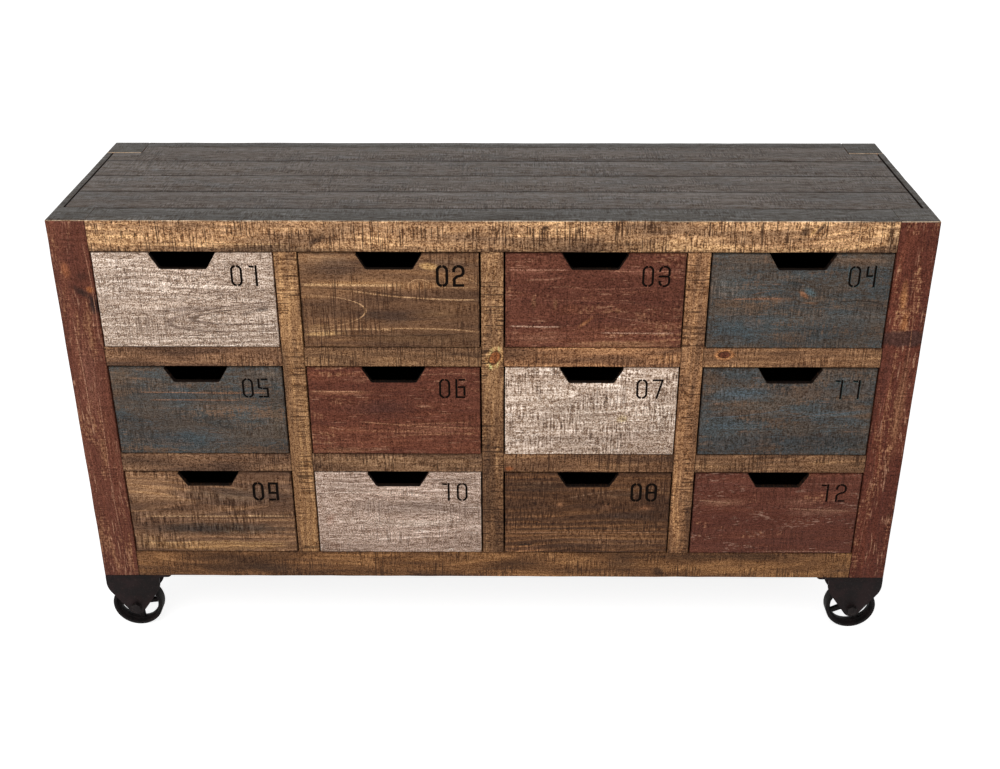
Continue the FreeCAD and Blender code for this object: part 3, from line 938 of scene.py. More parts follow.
def numeralCutter(number, right, top, front, finish):
    # Every stroke is a ribbon along its centre line, given a wall as thick as the stroke.
    shape = numeralShape
    stroke = shape["boldStroke" if number in shape["bold"] else "stroke"]
    bm = bmesh.new()
    for place, digit in enumerate("%02d" % number):
        shift = shape["leadingOne"] if digit == "1" and place == 0 else 0
        for line in figures[digit]:
            points = [Vector((right - shape["fromRight"][place] + (x + shift) * mm, front - shape["lead"],
                              top - shape["below"] + y * mm)) for x, y in line]
            points[0] += (points[0] - points[1]).normalized() * stroke * shape["endRun"]
            points[-1] += (points[-1] - points[-2]).normalized() * stroke * shape["endRun"]
            verts = [bm.verts.new(point) for point in points]
            edges = [bm.edges.new(pair) for pair in zip(verts, verts[1:])]
            grown = bmesh.ops.extrude_edge_only(bm, edges=edges)["geom"]
            bmesh.ops.translate(bm, vec=(0, shape["lead"] + shape["depth"], 0),
                                verts=[item for item in grown if isinstance(item, bmesh.types.BMVert)])
    mesh = bpy.data.meshes.new("numeralStrokes")
    bmesh.ops.recalc_face_normals(bm, faces=bm.faces)
    bm.to_mesh(mesh)
    bm.free()
    mesh.materials.append(finish)
    cutter = bpy.data.objects.new("numeralStrokes", mesh)
    bpy.context.scene.collection.objects.link(cutter)
    wall = cutter.modifiers.new("stroke", "SOLIDIFY")
    wall.thickness = stroke
    wall.offset = 0.0
    wall.use_even_offset = True
    return cutter


def carve(piece, cutter, marks):
    # Cuts the figures into a front. The new mesh gets the board's marks afresh.
    cut = piece.modifiers.new("numerals", "BOOLEAN")
    cut.operation = "DIFFERENCE"
    cut.solver = "EXACT"
    cut.use_self = True
    cut.material_mode = "TRANSFER"
    cut.object = cutter
    bpy.context.view_layer.update()
    solid = bpy.data.meshes.new_from_object(piece.evaluated_get(bpy.context.evaluated_depsgraph_get()))
    piece.modifiers.clear()
    piece.data = solid
    solid.name = piece.name
    for name, value in marks.items():
        solid.attributes[name].data.foreach_set("vector", list(value) * len(solid.vertices))
    bpy.data.objects.remove(cutter)


def frontMesh(low, high):
    shape = frontShape
    middle = (low.x + high.x) / 2
    foot = high.z - shape["notchDepth"]
    halfTop, halfBottom = shape["notchTop"] / 2, shape["notchBottom"] / 2
    outline = [
        (low.x, low.z), (high.x, low.z), (high.x, high.z),
        (middle + halfTop, high.z), (middle + halfBottom, foot),
        (middle - halfBottom, foot), (middle - halfTop, high.z),
        (low.x, high.z),
    ]
    bm = slab([(x, low.y, z) for x, z in outline], (0, high.y - low.y, 0))

    def upright(x, z):
        return [e for e in bm.edges
                if all(abs(v.co.x - x) < 1e-6 and abs(v.co.z - z) < 1e-6 for v in e.verts)]

    for sign in (-1, 1):
        rounded(bm, upright(middle + sign * halfTop, high.z), shape["topRound"], 4)
        rounded(bm, upright(middle + sign * halfBottom, foot), shape["bottomRound"], 4)
    long = [e for e in bm.edges if e.calc_length() > 60 * mm and level(e, 1)]
    bmesh.ops.subdivide_edges(bm, edges=long, cuts=shape["cuts"])
    # Faces inside the notch take the notch finish, near black, painted shade
    for face in bm.faces:
        centre = face.calc_center_median()
        if abs(centre.x - middle) < halfTop - 2 * mm and centre.z > foot - mm and abs(face.normal.y) < 0.5:
            face.material_index = 1
    rounded(bm, [e for e in sharpEdges(bm) if level(e, 1)], shape["bevel"])
    wearEdges(bm, low, high, shape["wander"], (0, 2))
    markBoard(bm, low, high)
    return bm


def burntFinish(name, wall):
    # The floor of a burnt figure is black, and its walls take the wall tone: a dark tone of the paint on most
    # fronts, and on the slate fronts a light teal that is a painted highlight.
    g = Finish(name)
    facing = abs(g.split(g.node("ShaderNodeNewGeometry").outputs["Normal"])[1])
    soot = g.mix(g.noise(g.place, (900.0, 900.0, 900.0)), tone(8, 6, 5), tone(26, 19, 14))
    colour = g.mix(g.span(facing, 0.3, 0.7), tone(*wall), soot)
    grain = g.noise(g.place, (700.0, 700.0, 700.0))
    return g.close(colour, 0.85, grain, 0.4, 0.0004, Specular_IOR_Level=0.06)


# Near black on the notch's cut faces: painted shade of the recess under the rail. The lighter edge line is
# painted light where the notch's floor catches it
notchShade = woodFinish("notchShadeWood", {
    "middle": (26, 18, 14), "edgeColour": (104, 80, 66), "edgeAmount": 0.5, "edgeWidth": 0.0012,
})

whiteLook = {
    "middle": (204, 178, 158),
    "drop": (0.20, 0.22, 0.23),
    "rise": (0.18, 0.22, 0.25),
    "speck": 3.6,
    "fine": 1.7,
    "fineScale": (80.0, 430.0),
    "hair": 0.6,
    "growth": 0.3,
    "cutColour": (104, 82, 68),
    "cutAmount": 0.5,
    "scratchColour": (232, 212, 196),
    "scratchLevel": 0.62,
    "poreColour": (100, 78, 64),
    "poreAmount": 0.75,
    "poreLevel": 0.57,
    "edgeColour": (226, 206, 188),
    "edgeAmount": 0.5,
}
brownLook = {
    **frameLook,
    "middle": (118, 84, 59),
    "drop": (0.26, 0.27, 0.24),
    "rise": (0.45, 0.50, 0.46),
    "broad": 1.1,
    "broadScale": (2.2, 12.0),
    "tick": 1.6,
    "speck": 2.2,
    # Dark edges: painted shade in the gaps round the drawers
    "edgeColour": (48, 32, 22),
    "edgeAmount": 0.7,
    "edgeWidth": 0.0022,
}
redFront = {
    **redLook,
    "bareLevel": 0.6,
    # Dark edges: painted shade in the gaps round the drawers
    "edgeColour": (50, 25, 18),
    "edgeAmount": 0.65,
    "edgeWidth": 0.0022,
}
slateLook = {
    "middle": (88, 77, 68),
    "drop": (0.17, 0.17, 0.15),
    "rise": (0.22, 0.19, 0.16),
    "fine": 1.2,
    "tick": 1.4,
    "growth": 0.12,
    "wash": (74, 79, 80),
    "washAmount": 0.85,
    "washLevel": 0.5,
    "bare": (98, 78, 63),
    "bareLevel": 0.545,
    "bareSoft": 0.05,
    "cutColour": (50, 46, 43),
    "cutAmount": 0.5,
    "scratchColour": (136, 100, 78),
    "scratchAmount": 0.4,
    "scratchLevel": 0.63,
    "poreColour": (46, 42, 38),
    "poreAmount": 0.4,
    # Dark edges: painted shade in the gaps round the drawers
    "edgeColour": (38, 33, 29),
    "edgeAmount": 0.65,
    "edgeWidth": 0.0022,
}
familyOf = {1: whiteLook, 7: whiteLook, 10: whiteLook, 2: brownLook, 9: brownLook, 8: brownLook,
            3: redFront, 6: redFront, 12: redFront, 4: slateLook, 5: slateLook, 11: slateLook}
# Tones of the figures' groove walls. The light teal of the slate fronts 4, 5 and 11 is a painted highlight
grooveTone = {1: (84, 66, 54), 7: (84, 66, 54), 10: (84, 66, 54), 2: (52, 38, 26), 9: (52, 38, 26),
              8: (44, 32, 22), 3: (74, 34, 26), 6: (74, 34, 26), 12: (66, 30, 26),
              4: (70, 110, 116), 5: (60, 84, 92), 11: (84, 128, 130)}

# What each front has of its own, in mm from its left edge and its top
pale = (226, 204, 186)
straw = (196, 152, 110)
ownLook = {
    1: {
        "spots": (
            (286, 107, 15, 4, 4, (104, 88, 78), 0.9, 0.6),
            (262, 113, 14, 4, 20, (124, 106, 94), 0.7, 0.8),
            (150, 106, 70, 6, 4, (150, 128, 114), 0.7, 0.9),
            (60, 60, 60, 26, 0, (164, 140, 124), 0.5, 0.9),
            (240, 22, 16, 12, 0, (150, 126, 108), 0.6, 0.9),
            (30, 120, 26, 50, 0, (200, 176, 158), 0.5, 0.9),
            (150, 146, 150, 22, 0, (176, 152, 134), 0.5, 0.9),
            (268, 84, 46, 10, 0, (196, 170, 150), 0.6, 0.9),
        ),
        "lines": (
            (4, 44, 210, 38, -3, 0.9, pale, 0.7), (4, 86, 300, 92, -6, 1.0, pale, 0.75),
            (120, 108, 300, 96, 3, 0.9, (124, 104, 92), 0.6),
            (90, 64, 312, 70, 0, 0.8, (128, 106, 92), 0.5), (40, 160, 250, 156, 2, 0.9, pale, 0.5),
        ),
        "arches": (
            (330, 116, 168, 17, 3, 0.06, (112, 92, 80), 0.85), (330, 116, 140, 11, 3, 0.05, pale, 0.5),
            (330, 118, 210, 28, 4, 0.04, (120, 98, 86), 0.7),
        ),
        "poreRegion": 0.44,
    },
    2: {
        "growth": 0.05,
        "spots": (
            (226, 24, 17, 7, -8, (206, 158, 104), 1.0, 0.5),
            (250, 56, 30, 7, -20, (70, 50, 38), 0.7, 0.8), (60, 22, 70, 24, 0, (92, 70, 56), 0.7, 0.9),
            (250, 20, 60, 14, 0, (92, 72, 58), 0.5, 0.9), (34, 153, 34, 5, 2, (206, 162, 112), 1.0, 0.6),
            (20, 140, 26, 5, 8, (150, 112, 76), 0.6, 0.9), (160, 122, 44, 14, 0, (82, 62, 50), 0.7, 0.9),
            (120, 118, 26, 10, 0, (76, 60, 50), 0.5, 0.9), (236, 114, 40, 9, 0, (146, 108, 74), 0.7, 0.9),
            (100, 56, 130, 4, 0, (146, 106, 72), 0.6, 0.9),
            (210, 162, 120, 14, 0, (124, 92, 64), 0.6, 0.9), (40, 104, 46, 22, 0, (96, 70, 52), 0.5, 0.9),
        ),
        "lines": (
            (2, 60, 184, 60, 0, 2.0, (206, 162, 116), 1.0), (184, 62, 232, 62, -14, 0.8, straw, 0.8),
            (232, 62, 312, 62, 2, 0.8, straw, 0.6), (4, 66, 180, 80, -5, 0.8, (62, 44, 32), 0.6),
            (90, 70, 312, 86, 6, 1.1, straw, 0.9), (4, 148, 160, 146, -3, 1.4, straw, 0.9),
            (130, 144, 312, 150, -4, 1.1, straw, 0.85), (60, 156, 312, 152, 3, 0.8, (58, 42, 32), 0.6),
            (280, 44, 312, 58, -3, 0.9, straw, 0.7),
        ),
        "arches": (
            (-8, 112, 120, 33, 2, 0.016, straw, 0.95), (60, 113, 62, 18, -14, 0.03, (140, 98, 66), 0.25),
        ),
    },
    3: {
        "bareLevel": 0.585,
        "spots": (
            (40, 33, 48, 6, 0, (140, 88, 68), 0.6, 0.9), (50, 92, 4, 14, 0, (158, 112, 80), 0.7, 0.9),
            (88, 96, 4, 12, 0, (150, 106, 74), 0.6, 0.9),
            (142, 130, 16, 3.5, 38, (160, 104, 66), 0.8, 0.7),
            (116, 102, 18, 12, 0, (134, 82, 58), 0.6, 0.9),
            (208, 172, 90, 7, 0, (146, 102, 72), 0.75, 0.9), (230, 34, 60, 8, 0, (136, 84, 66), 0.5, 0.9),
            (60, 160, 50, 12, 0, (134, 88, 68), 0.5, 0.9),
        ),
        "lines": (
            (4, 30, 110, 31, 0, 1.0, (190, 136, 110), 0.7),
            (190, 34, 312, 32, 0, 0.9, (176, 122, 96), 0.6),
            (8, 138, 100, 138, 0, 0.9, (200, 160, 136), 0.75),
            (170, 150, 300, 152, 0, 1.2, (196, 152, 126), 0.7),
            (180, 118, 312, 138, 2, 0.8, (156, 106, 84), 0.6),
            (110, 66, 260, 62, 2, 0.8, (150, 96, 74), 0.5),
            (60, 88, 240, 96, -3, 0.8, (142, 92, 70), 0.5),
        ),
    },
    4: {
        "spots": (
            (148, 56, 13, 7, -35, (50, 50, 48), 0.8, 0.7),
            (174, 70, 15, 7, -38, (88, 108, 112), 0.7, 0.7),
            (163, 76, 12, 4.5, -40, (140, 96, 68), 0.9, 0.5),
            (176, 92, 16, 2.2, -4, (128, 92, 66), 0.8, 0.6),
            (238, 38, 2.5, 22, 6, (92, 112, 116), 0.75, 0.9),
            (110, 84, 50, 5, 0, (116, 88, 68), 0.7, 0.9), (60, 140, 60, 30, 0, (68, 79, 84), 0.6, 0.9),
            (250, 14, 60, 10, 0, (98, 76, 60), 0.6, 0.9), (30, 60, 34, 30, 0, (76, 84, 86), 0.5, 0.9),
            (240, 120, 70, 24, 0, (74, 76, 76), 0.5, 0.9),
        ),
        "lines": (
            (40, 84, 130, 84, 0, 1.0, (150, 102, 74), 0.7),
            (226, 90, 300, 92, -4, 0.9, (40, 37, 35), 0.8),
            (150, 100, 300, 112, -4, 0.8, (112, 92, 78), 0.5),
            (10, 60, 130, 66, 3, 0.8, (110, 88, 72), 0.4),
        ),
        "arches": ((172, 78, 34, 14, -8, 0.06, (54, 52, 50), 0.5),),
    },
    5: {
        "spots": (
            (170, 108, 9, 6, 0, (54, 46, 40), 0.8, 0.8), (192, 112, 40, 14, 0, (70, 66, 62), 0.6, 0.9),
            (60, 60, 44, 26, 0, (90, 76, 65), 0.5, 0.9), (290, 14, 14, 5, 0, (120, 104, 90), 0.7, 0.9),
            (24, 18, 16, 16, 0, (96, 80, 66), 0.5, 0.9), (130, 150, 90, 22, 0, (68, 79, 84), 0.6, 0.9),
            (120, 66, 40, 30, 0, (66, 80, 86), 0.5, 0.9), (294, 110, 10, 60, 0, (86, 74, 62), 0.6, 0.9),
        ),
        "lines": (
            (48, 51, 290, 51, 0, 0.9, (156, 112, 84), 0.8),
            (66, 67, 232, 67, 0, 0.9, (144, 104, 80), 0.75),
            (70, 84, 290, 83, 0, 0.8, (120, 94, 78), 0.5), (20, 32, 160, 34, 0, 0.8, (112, 90, 76), 0.4),
        ),
        "arches": ((198, 114, 9, 9, 0, 0.2, (42, 38, 36), 0.7),),
    },
    6: {
        "middle": (110, 62, 45),
        "spots": (
            (62, 52, 62, 5, 0, (162, 110, 80), 0.8, 0.9), (48, 12, 4.5, 4, 0, (66, 28, 20), 0.9, 0.6),
            (50, 167, 6, 4.5, 0, (66, 26, 18), 0.9, 0.6), (130, 84, 66, 17, 0, (88, 54, 45), 0.7, 0.9),
            (230, 126, 80, 12, 2, (136, 88, 66), 0.55, 0.9), (60, 172, 60, 7, 0, (142, 98, 72), 0.6, 0.9),
            (96, 26, 16, 6, 0, (146, 98, 74), 0.6, 0.9), (280, 60, 30, 30, 0, (118, 70, 54), 0.5, 0.9),
        ),
        "lines": (
            (4, 48, 100, 48, 0, 1.2, (190, 138, 104), 0.85),
            (90, 112, 312, 124, 3, 0.9, (178, 126, 92), 0.7),
            (150, 118, 300, 112, 0, 0.9, (172, 120, 88), 0.6),
            (60, 128, 250, 134, 0, 0.8, (160, 108, 80), 0.6),
            (170, 16, 310, 12, 0, 0.9, (168, 118, 92), 0.6),
            (150, 140, 310, 134, 0, 0.9, (166, 116, 84), 0.6),
        ),
        "arches": ((64, 160, 30, 12, 0, 0.05, (150, 96, 70), 0.6),),
    },
    7: {
        "middle": (206, 179, 158), "tick": 3.0, "tickScale": (340.0, 45.0), "speck": 3.0, "fine": 1.3,
        "cutRegion": 0.46, "poreRegion": 0.44,
        "spots": (
            (120, 92, 90, 40, 0, (158, 134, 116), 0.6, 0.8),
            (284, 100, 24, 40, 0, (206, 182, 162), 0.7, 0.9),
            (60, 20, 50, 10, 0, (158, 128, 106), 0.7, 0.9),
            (100, 150, 130, 18, 0, (188, 164, 146), 0.6, 0.9),
            (214, 104, 12, 8, 4, (188, 160, 124), 0.95, 0.4),
            (160, 60, 50, 14, 0, (190, 166, 148), 0.5, 0.9),
        ),
        "lines": (
            (2, 129, 312, 128, 0, 1.2, pale, 0.8), (40, 32, 130, 30, -3, 1.1, pale, 0.8),
            (4, 52, 120, 50, 0, 0.8, (120, 98, 84), 0.5), (190, 22, 300, 30, 2, 0.9, (120, 98, 86), 0.6),
        ),
    },
    8: {
        "middle": (90, 60, 40), "growth": 0.3, "tick": 3.0, "cutRegion": 0.42, "patch": 1.5,
        "spots": (
            (268, 76, 16, 6, 0, (152, 104, 72), 0.85, 0.9), (104, 70, 9, 6, 0, (150, 104, 72), 0.8, 0.9),
            (194, 74, 14, 7, 0, (142, 98, 68), 0.8, 0.9), (38, 172, 40, 10, 0, (140, 96, 66), 0.8, 0.9),
            (240, 46, 80, 5, 4, (116, 86, 64), 0.7, 0.9),
            (180, 154, 120, 18, 0, (124, 88, 62), 0.75, 0.9),
            (230, 96, 90, 10, 0, (68, 50, 40), 0.7, 0.9), (60, 30, 60, 12, 0, (78, 58, 44), 0.5, 0.9),
        ),
        "lines": (
            (2, 134, 300, 132, 0, 1.0, (164, 120, 86), 0.8),
            (120, 56, 312, 34, -8, 1.1, (132, 100, 76), 0.7),
            (26, 162, 54, 161, 0, 1.1, (30, 20, 14), 0.95), (20, 22, 120, 20, 0, 0.9, (120, 90, 66), 0.5),
            (10, 126, 290, 124, 0, 1.2, (60, 44, 34), 0.7),
        ),
    },
    9: {
        "middle": (116, 84, 62), "tick": 3.0, "cutRegion": 0.47, "cutAmount": 0.55,
        "spots": (
            (204, 50, 110, 22, 0, (86, 68, 56), 0.8, 0.9), (46, 52, 46, 20, 0, (150, 112, 82), 0.75, 0.9),
            (158, 126, 140, 15, 0, (72, 58, 48), 0.95, 0.7),
            (150, 166, 150, 11, 0, (176, 132, 88), 0.95, 0.7),
            (150, 92, 140, 7, 0, (136, 102, 76), 0.6, 0.9),
            (30, 156, 30, 14, 0, (172, 130, 90), 0.6, 0.9),
        ),
        "lines": (
            (26, 98, 312, 98, 0, 1.1, (206, 164, 120), 0.8),
            (6, 54, 100, 54, 0, 0.9, (196, 152, 112), 0.7), (4, 30, 90, 32, 0, 0.8, (188, 144, 104), 0.6),
            (4, 82, 140, 84, 0, 0.8, (56, 42, 34), 0.6),
            (100, 106, 312, 108, 0, 0.8, (186, 144, 104), 0.5),
            (10, 158, 300, 160, 0, 0.9, (200, 156, 106), 0.7),
        ),
    },
    10: {
        "middle": (192, 164, 146), "patch": 0.8, "poreRegion": 0.45, "poreAmount": 0.6,
        "spots": (
            (28, 165, 16, 9, 0, (160, 122, 100), 0.6, 0.9),
            (196, 76, 130, 20, 0, (146, 124, 110), 0.75, 0.9),
            (24, 106, 9, 14, -20, (166, 122, 100), 0.6, 0.9),
            (180, 115, 130, 7, 0, (200, 176, 158), 0.7, 0.9),
            (60, 30, 60, 14, 0, (168, 144, 128), 0.5, 0.9),
            (270, 22, 40, 12, 0, (160, 136, 120), 0.5, 0.9),
        ),
        "lines": (
            (220, 14, 300, 12, 0, 0.9, (104, 84, 72), 0.7),
            (230, 22, 312, 24, 0, 0.9, (104, 84, 72), 0.6), (4, 46, 200, 46, -3, 0.9, pale, 0.5),
            (20, 108, 300, 106, 0, 1.1, pale, 0.6), (10, 70, 60, 96, 6, 1.0, pale, 0.6),
        ),
    },
    11: {
        "spots": (
            (70, 52, 56, 13, 3, (80, 91, 97), 0.85, 0.9), (244, 92, 66, 6, 4, (84, 95, 100), 0.8, 0.9),
            (190, 50, 60, 14, 0, (100, 78, 62), 0.7, 0.9), (70, 92, 70, 7, 4, (98, 78, 64), 0.6, 0.9),
            (240, 150, 80, 24, 0, (62, 62, 61), 0.6, 0.9), (80, 150, 70, 16, 0, (68, 78, 82), 0.5, 0.9),
            (50, 116, 50, 6, 6, (76, 86, 92), 0.7, 0.9), (222, 136, 8, 6, 0, (70, 52, 42), 0.7, 0.8),
            (16, 20, 18, 16, 0, (96, 76, 60), 0.6, 0.9), (286, 40, 26, 20, 0, (94, 78, 66), 0.6, 0.9),
        ),
        "lines": (
            (4, 104, 160, 82, 3, 0.9, (90, 100, 106), 0.6),
            (150, 100, 312, 78, 3, 0.8, (108, 84, 68), 0.6),
            (6, 124, 120, 122, 0, 0.9, (90, 106, 112), 0.5),
            (100, 128, 300, 124, -3, 0.8, (50, 47, 44), 0.5),
        ),
    },
    12: {
        "middle": (99, 55, 42), "bareLevel": 0.62, "growth": 0.05, "scratchColour": (176, 138, 118),
        "scratchLevel": 0.57, "scratchScale": (90.0, 380.0),
        "spots": (
            (56, 64, 46, 9, 3, (142, 98, 76), 0.65, 0.9), (240, 84, 62, 9, 4, (138, 96, 76), 0.6, 0.9),
            (200, 62, 40, 10, 0, (132, 88, 70), 0.5, 0.9), (100, 26, 120, 12, 0, (106, 62, 50), 0.5, 0.9),
        ),
        "lines": (
            (140, 174, 290, 174, 0, 0.9, (164, 120, 96), 0.7),
            (10, 60, 70, 66, 0, 1.0, (176, 132, 104), 0.7),
            (180, 78, 300, 84, 0, 1.0, (172, 128, 102), 0.6),
            (170, 20, 300, 22, 0, 0.8, (150, 104, 84), 0.5),
        ),
    },
}


boxShape = {"board": 12 * mm, "floorUp": 8 * mm, "floorThick": 6 * mm, "wander": 0.2 * mm}


def drawerBoxMesh(low, high):
    # Two sides, a back between them and a floor that fits between all three.
    board = boxShape["board"]
    floorLow = low.z + boxShape["floorUp"]
    floorHigh = floorLow + boxShape["floorThick"]
    boards = (
        ((low.x, low.y, low.z), (low.x + board, high.y, high.z), 1),
        ((high.x - board, low.y, low.z), (high.x, high.y, high.z), 1),
        ((low.x + board, high.y - board, low.z), (high.x - board, high.y, high.z), 0),
        ((low.x + board, low.y, floorLow), (high.x - board, high.y - board, floorHigh), 0),
    )
    return joined([boardMesh(start, end, index, boxShape["wander"], material=number)
                   for index, (start, end, number) in enumerate(boards)])


for row in range(3):
    for column in range(4):
        place = "r%d_c%d" % (row + 1, column + 1)
        number = numbers[row][column]
        low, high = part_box("drawer_front_" + place)
        body = "drawer_" + place
        own = placed(ownLook[number], low.x, high.z, frontShape["lineWidth"])
        paint = woodFinish("front_%02d" % number, familyOf[number], own)
        burnt = burntFinish("burnt_%02d" % number, grooveTone[number])
        piece = finished("front_painted_" + place, frontMesh(low, high), [paint, notchShade, burnt], body,
                         "drawer_front_" + place)
        right, top = high.x + frontShape["sideGap"], high.z + frontShape["topGap"]
        carve(piece, numeralCutter(number, right, top, low.y, burnt), boardMarks(low, high))
        # The box boards take the near-black inside wood: painted shade seen through the notch
        bm = drawerBoxMesh(*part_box("drawer_box_" + place))
        finished("box_boards_" + place, bm, [insideX, insideY], body, "drawer_box_" + place)
print("drawers made")


# Casters

casterShape = {
    "plateLength": 128 * mm,
    "plateThick": 5 * mm,
    "plateRadius": 7 * mm,
    "cheekThick": 5 * mm,
    "cheekHalf": 52.5 * mm,
    "cheekSide": 31 * mm,
    "cheekRound": 10.8 * mm,   # how much a cheek's corners are taken back
    "flare": 6 * mm,
    "boss": 17 * mm,
    "lap": 0.5 * mm,           # how far a cheek runs into the plate
    "rimHalf": 13 * mm,
    "rimWall": 6.5 * mm,
    "lip": 1.4 * mm,
    "webHalf": 5 * mm,
    "webRing": 3.5 * mm,
    "hub": 15 * mm,
    "hubHalf": 14.5 * mm,
    "bore": 6.05 * mm,
    "spokes": 4,
    "spokeWide": 11 * mm,
    "spokeTaper": 0.86,
    "spokeRound": 2.2 * mm,
    "spokeSink": 3 * mm,       # how far a spoke runs into the hub and the ring
    "edge": 0.9 * mm,
    "steps": 72,
}
spokeTurns = {"front_left": 6, "front_right": 25, "back_left": 38, "back_right": 61}


def ironFinish(name, dark, light, rough=0.6, metal=0.0, relief=0.6):
    g = Finish(name)
    cast = g.noise(g.place, (420.0, 420.0, 420.0), 4.0, 0.65)
    cloud = g.noise(g.place, (38.0, 38.0, 38.0), 4.0, 0.6)
    rub = g.span(g.noise(g.place, (150.0, 150.0, 150.0), 4.0, 0.7), 0.58, 0.68)
    colour = g.mix(g.span(cloud, 0.38, 0.66), tone(*dark), tone(*light))
    colour = g.mix(g.span(cast, 0.58, 0.7) * 0.35, colour, tone(78, 66, 62))
    colour = g.mix(rub * 0.3, colour, tone(66, 56, 54))
    roughness = g.span(cloud, 0.3, 0.7, rough - 0.08, rough + 0.1)
    return g.close(colour, roughness, cast, relief, 0.0005, Metallic=metal, Specular_IOR_Level=0.1)


castIron = ironFinish("castIron", (24, 18, 18), (42, 31, 31))
wheelIron = ironFinish("wheelIron", (14, 11, 11), (29, 22, 22))
darkSteel = ironFinish("darkSteel", (30, 25, 25), (48, 42, 41), 0.45, 0.3, 0.25)


def wheelMesh(axle, turn):
    shape = casterShape
    radius = axle.z
    inner = radius - shape["rimWall"]
    web = inner - shape["webRing"]
    hub = shape["hub"]
    lip, half, webHalf, hubHalf = (shape[key] for key in ("lip", "rimHalf", "webHalf", "hubHalf"))
    # The outer half of each profile as (radius, distance from the middle); the other half mirrors it.
    rim = [
        (radius, half - lip), (radius - lip * 0.3, half - lip * 0.3), (radius - lip, half),
        (inner + lip * 0.7, half), (inner, half - lip), (inner - lip * 0.6, webHalf + lip),
        (inner - lip * 1.4, webHalf), (web + lip * 0.5, webHalf), (web, webHalf - lip * 0.5),
    ]
    core = [(hub + lip * 0.6, webHalf), (hub, hubHalf - lip), (hub - lip, hubHalf), (shape["bore"], hubHalf)]
    bm = bmesh.new()
    for profile in (rim, core):
        profile = profile + [(r, -y) for r, y in reversed(profile)]
        verts = [bm.verts.new((axle.x + r, axle.y + y, axle.z)) for r, y in profile]
        edges = [bm.edges.new(pair) for pair in zip(verts, verts[1:] + verts[:1])]
        bmesh.ops.spin(bm, geom=verts + edges, cent=axle, axis=(0, 1, 0), angle=math.tau,
                       steps=shape["steps"], use_merge=True)
    parts = [bm]
    near, far = hub - shape["spokeSink"], web + shape["spokeSink"]
    halfSize = Vector(((far - near) / 2, webHalf - mm / 2, shape["spokeWide"] / 2))
    centre = Vector(((near + far) / 2, 0, 0))
    for i in range(shape["spokes"]):
        spoke = block(centre - halfSize, centre + halfSize)
        outer = [v for v in spoke.verts if v.co.x > centre.x]
        bmesh.ops.scale(spoke, vec=(1, 1, shape["spokeTaper"]), verts=outer)
        rounded(spoke, sharpEdges(spoke, 35), shape["spokeRound"], 3)
        angle = -math.radians(turn + 360 / shape["spokes"] * i)
        bmesh.ops.rotate(spoke, matrix=Matrix.Rotation(angle, 3, "Y"), verts=spoke.verts)
        bmesh.ops.translate(spoke, vec=axle, verts=spoke.verts)
        parts.append(spoke)
    return joined(parts)


def bracketMesh(side, end, low, high):
    # Built for the left front, with the plate's ear towards the middle, then mirrored to its corner.
    shape = casterShape
    left = -max(abs(low.x), abs(high.x))
    near = -max(abs(low.y), abs(high.y))
    far = near + high.y - low.y
    top = high.z
    right = left + shape["plateLength"]
    plate = block(Vector((left, near, top - shape["plateThick"])), Vector((right, far, top)))
    ear = [e for e in plate.edges if not level(e, 2) and e.verts[0].co.x > (left + right) / 2]
    rounded(plate, ear, shape["plateRadius"], 6)
    rounded(plate, sharpEdges(plate, 35), shape["edge"])

    # A cheek's outline from the axle: it flares out at the plate and runs straight to the boss on both sides
    half, boss, flare = shape["cheekHalf"], shape["boss"], shape["flare"]
    axleX = left + half
    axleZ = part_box("caster_wheel_front_left")[1].z / 2
    cornerZ = top - shape["cheekSide"] - axleZ
    plateZ = top - shape["plateThick"] - axleZ + shape["lap"]
    touch = math.degrees(math.atan2(cornerZ, half) - math.acos(boss / math.hypot(half, cornerZ)))
    outline = [(-half, plateZ)] + arc(half + flare, plateZ - flare, flare, 90, 180, 5) + [(half, cornerZ)]
    outline += arc(0, 0, boss, touch, -180 - touch, 20) + [(-half, cornerZ)]
    parts = [plate]
    for y in (near, far - shape["cheekThick"]):
        cheek = slab([(axleX + x, y, axleZ + z) for x, z in outline], (0, shape["cheekThick"], 0))
        square = [e for e in cheek.edges
                  if level(e, 0) and all(abs(v.co.z - axleZ - cornerZ) < 1e-6 for v in e.verts)]
        rounded(cheek, square, shape["cheekRound"], 5)
        rounded(cheek, [e for e in sharpEdges(cheek) if level(e, 1)], shape["edge"])
        parts.append(cheek)
    bm = joined(parts)
    bmesh.ops.scale(bm, vec=(-side, -end, 1), verts=bm.verts)
    return bm


for corner in corners:
    side = -1 if corner.endswith("left") else 1
    end = -1 if corner.startswith("front") else 1
    bm = bracketMesh(side, end, *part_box("caster_bracket_" + corner))
    finished("bracket_iron_" + corner, bm, [castIron], "carcass", "caster_bracket_" + corner, 50)
    low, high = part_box("caster_wheel_" + corner)
    finished("wheel_iron_" + corner, wheelMesh((low + high) / 2, spokeTurns[corner]), [wheelIron],
             "wheel_" + corner, "caster_wheel_" + corner, 50)
dressed(("axle_bolts", "axle_nuts", "hub_washers", "plate_screws"), darkSteel)
print("casters made")


# Floor, light and camera

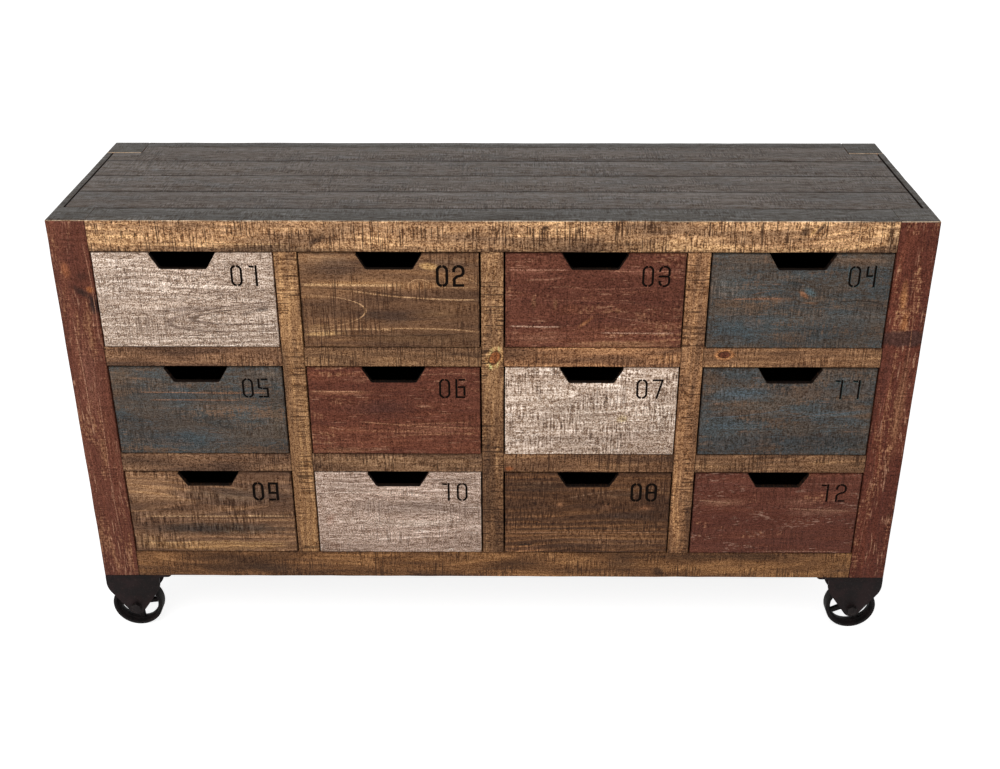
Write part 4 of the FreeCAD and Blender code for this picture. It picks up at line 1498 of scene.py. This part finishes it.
studio = {
    "floorSize": 14.0,
    "floorGlow": 0.84,
    "worldStrength": 0.55,
    "keyPower": 60.0,
    "keySize": 3.0,
    "keyPlace": (-1.0, -2.6, 3.4),
    "keyAim": (0, 0, 0.45),
    "lens": 46.606,
    "cameraPlace": (0.0300, -2.3053, 1.6230),
    "cameraTurn": (62.670, 0.058, 0.4263),
}

bm = bmesh.new()
bmesh.ops.create_grid(bm, x_segments=1, y_segments=1, size=studio["floorSize"] / 2)
floorMesh = bpy.data.meshes.new("floor")
bm.to_mesh(floorMesh)
bm.free()
floor = bpy.data.objects.new("floor", floorMesh)
bpy.context.scene.collection.objects.link(floor)
g = Finish("floorWhite")
seen = g.directRay()
plain = g.fed(g.node("ShaderNodeBsdfDiffuse"), g.mix(seen, tone(236, 236, 236), tone(190, 190, 190)))
glow = g.fed(g.node("ShaderNodeEmission"), (1, 1, 1, 1), seen * studio["floorGlow"])
both = g.fed(g.node("ShaderNodeAddShader"), plain[0], glow[0])
g.put(g.node("ShaderNodeOutputMaterial").inputs[0], both[0])
floorMesh.materials.append(g.material)

world = bpy.data.worlds.new("studio")
bpy.context.scene.world = world
world.use_nodes = True
g = Nodes(world.node_tree)
lit, backdrop = [g.fed(g.node("ShaderNodeBackground"), (1, 1, 1, 1), strength)[0]
                 for strength in (studio["worldStrength"], 1.0)]
choose = g.fed(g.node("ShaderNodeMixShader"), g.directRay(), lit, backdrop)
g.put(g.node("ShaderNodeOutputWorld").inputs[0], choose[0])

lamp = bpy.data.lights.new("key", "AREA")
lamp.energy = studio["keyPower"]
lamp.shape = "SQUARE"
lamp.size = studio["keySize"]
key = bpy.data.objects.new("key", lamp)
key.location = studio["keyPlace"]
aim = Vector(studio["keyAim"]) - key.location
key.rotation_euler = aim.to_track_quat("-Z", "Y").to_euler()
bpy.context.scene.collection.objects.link(key)

lens = bpy.data.cameras.new("camera")
lens.lens = studio["lens"]
camera = bpy.data.objects.new("camera", lens)
camera.location = studio["cameraPlace"]
camera.rotation_euler = [math.radians(a) for a in studio["cameraTurn"]]
bpy.context.scene.collection.objects.link(camera)
bpy.context.scene.camera = camera
bpy.context.scene.view_settings.view_transform = "Standard"
print("stage made")
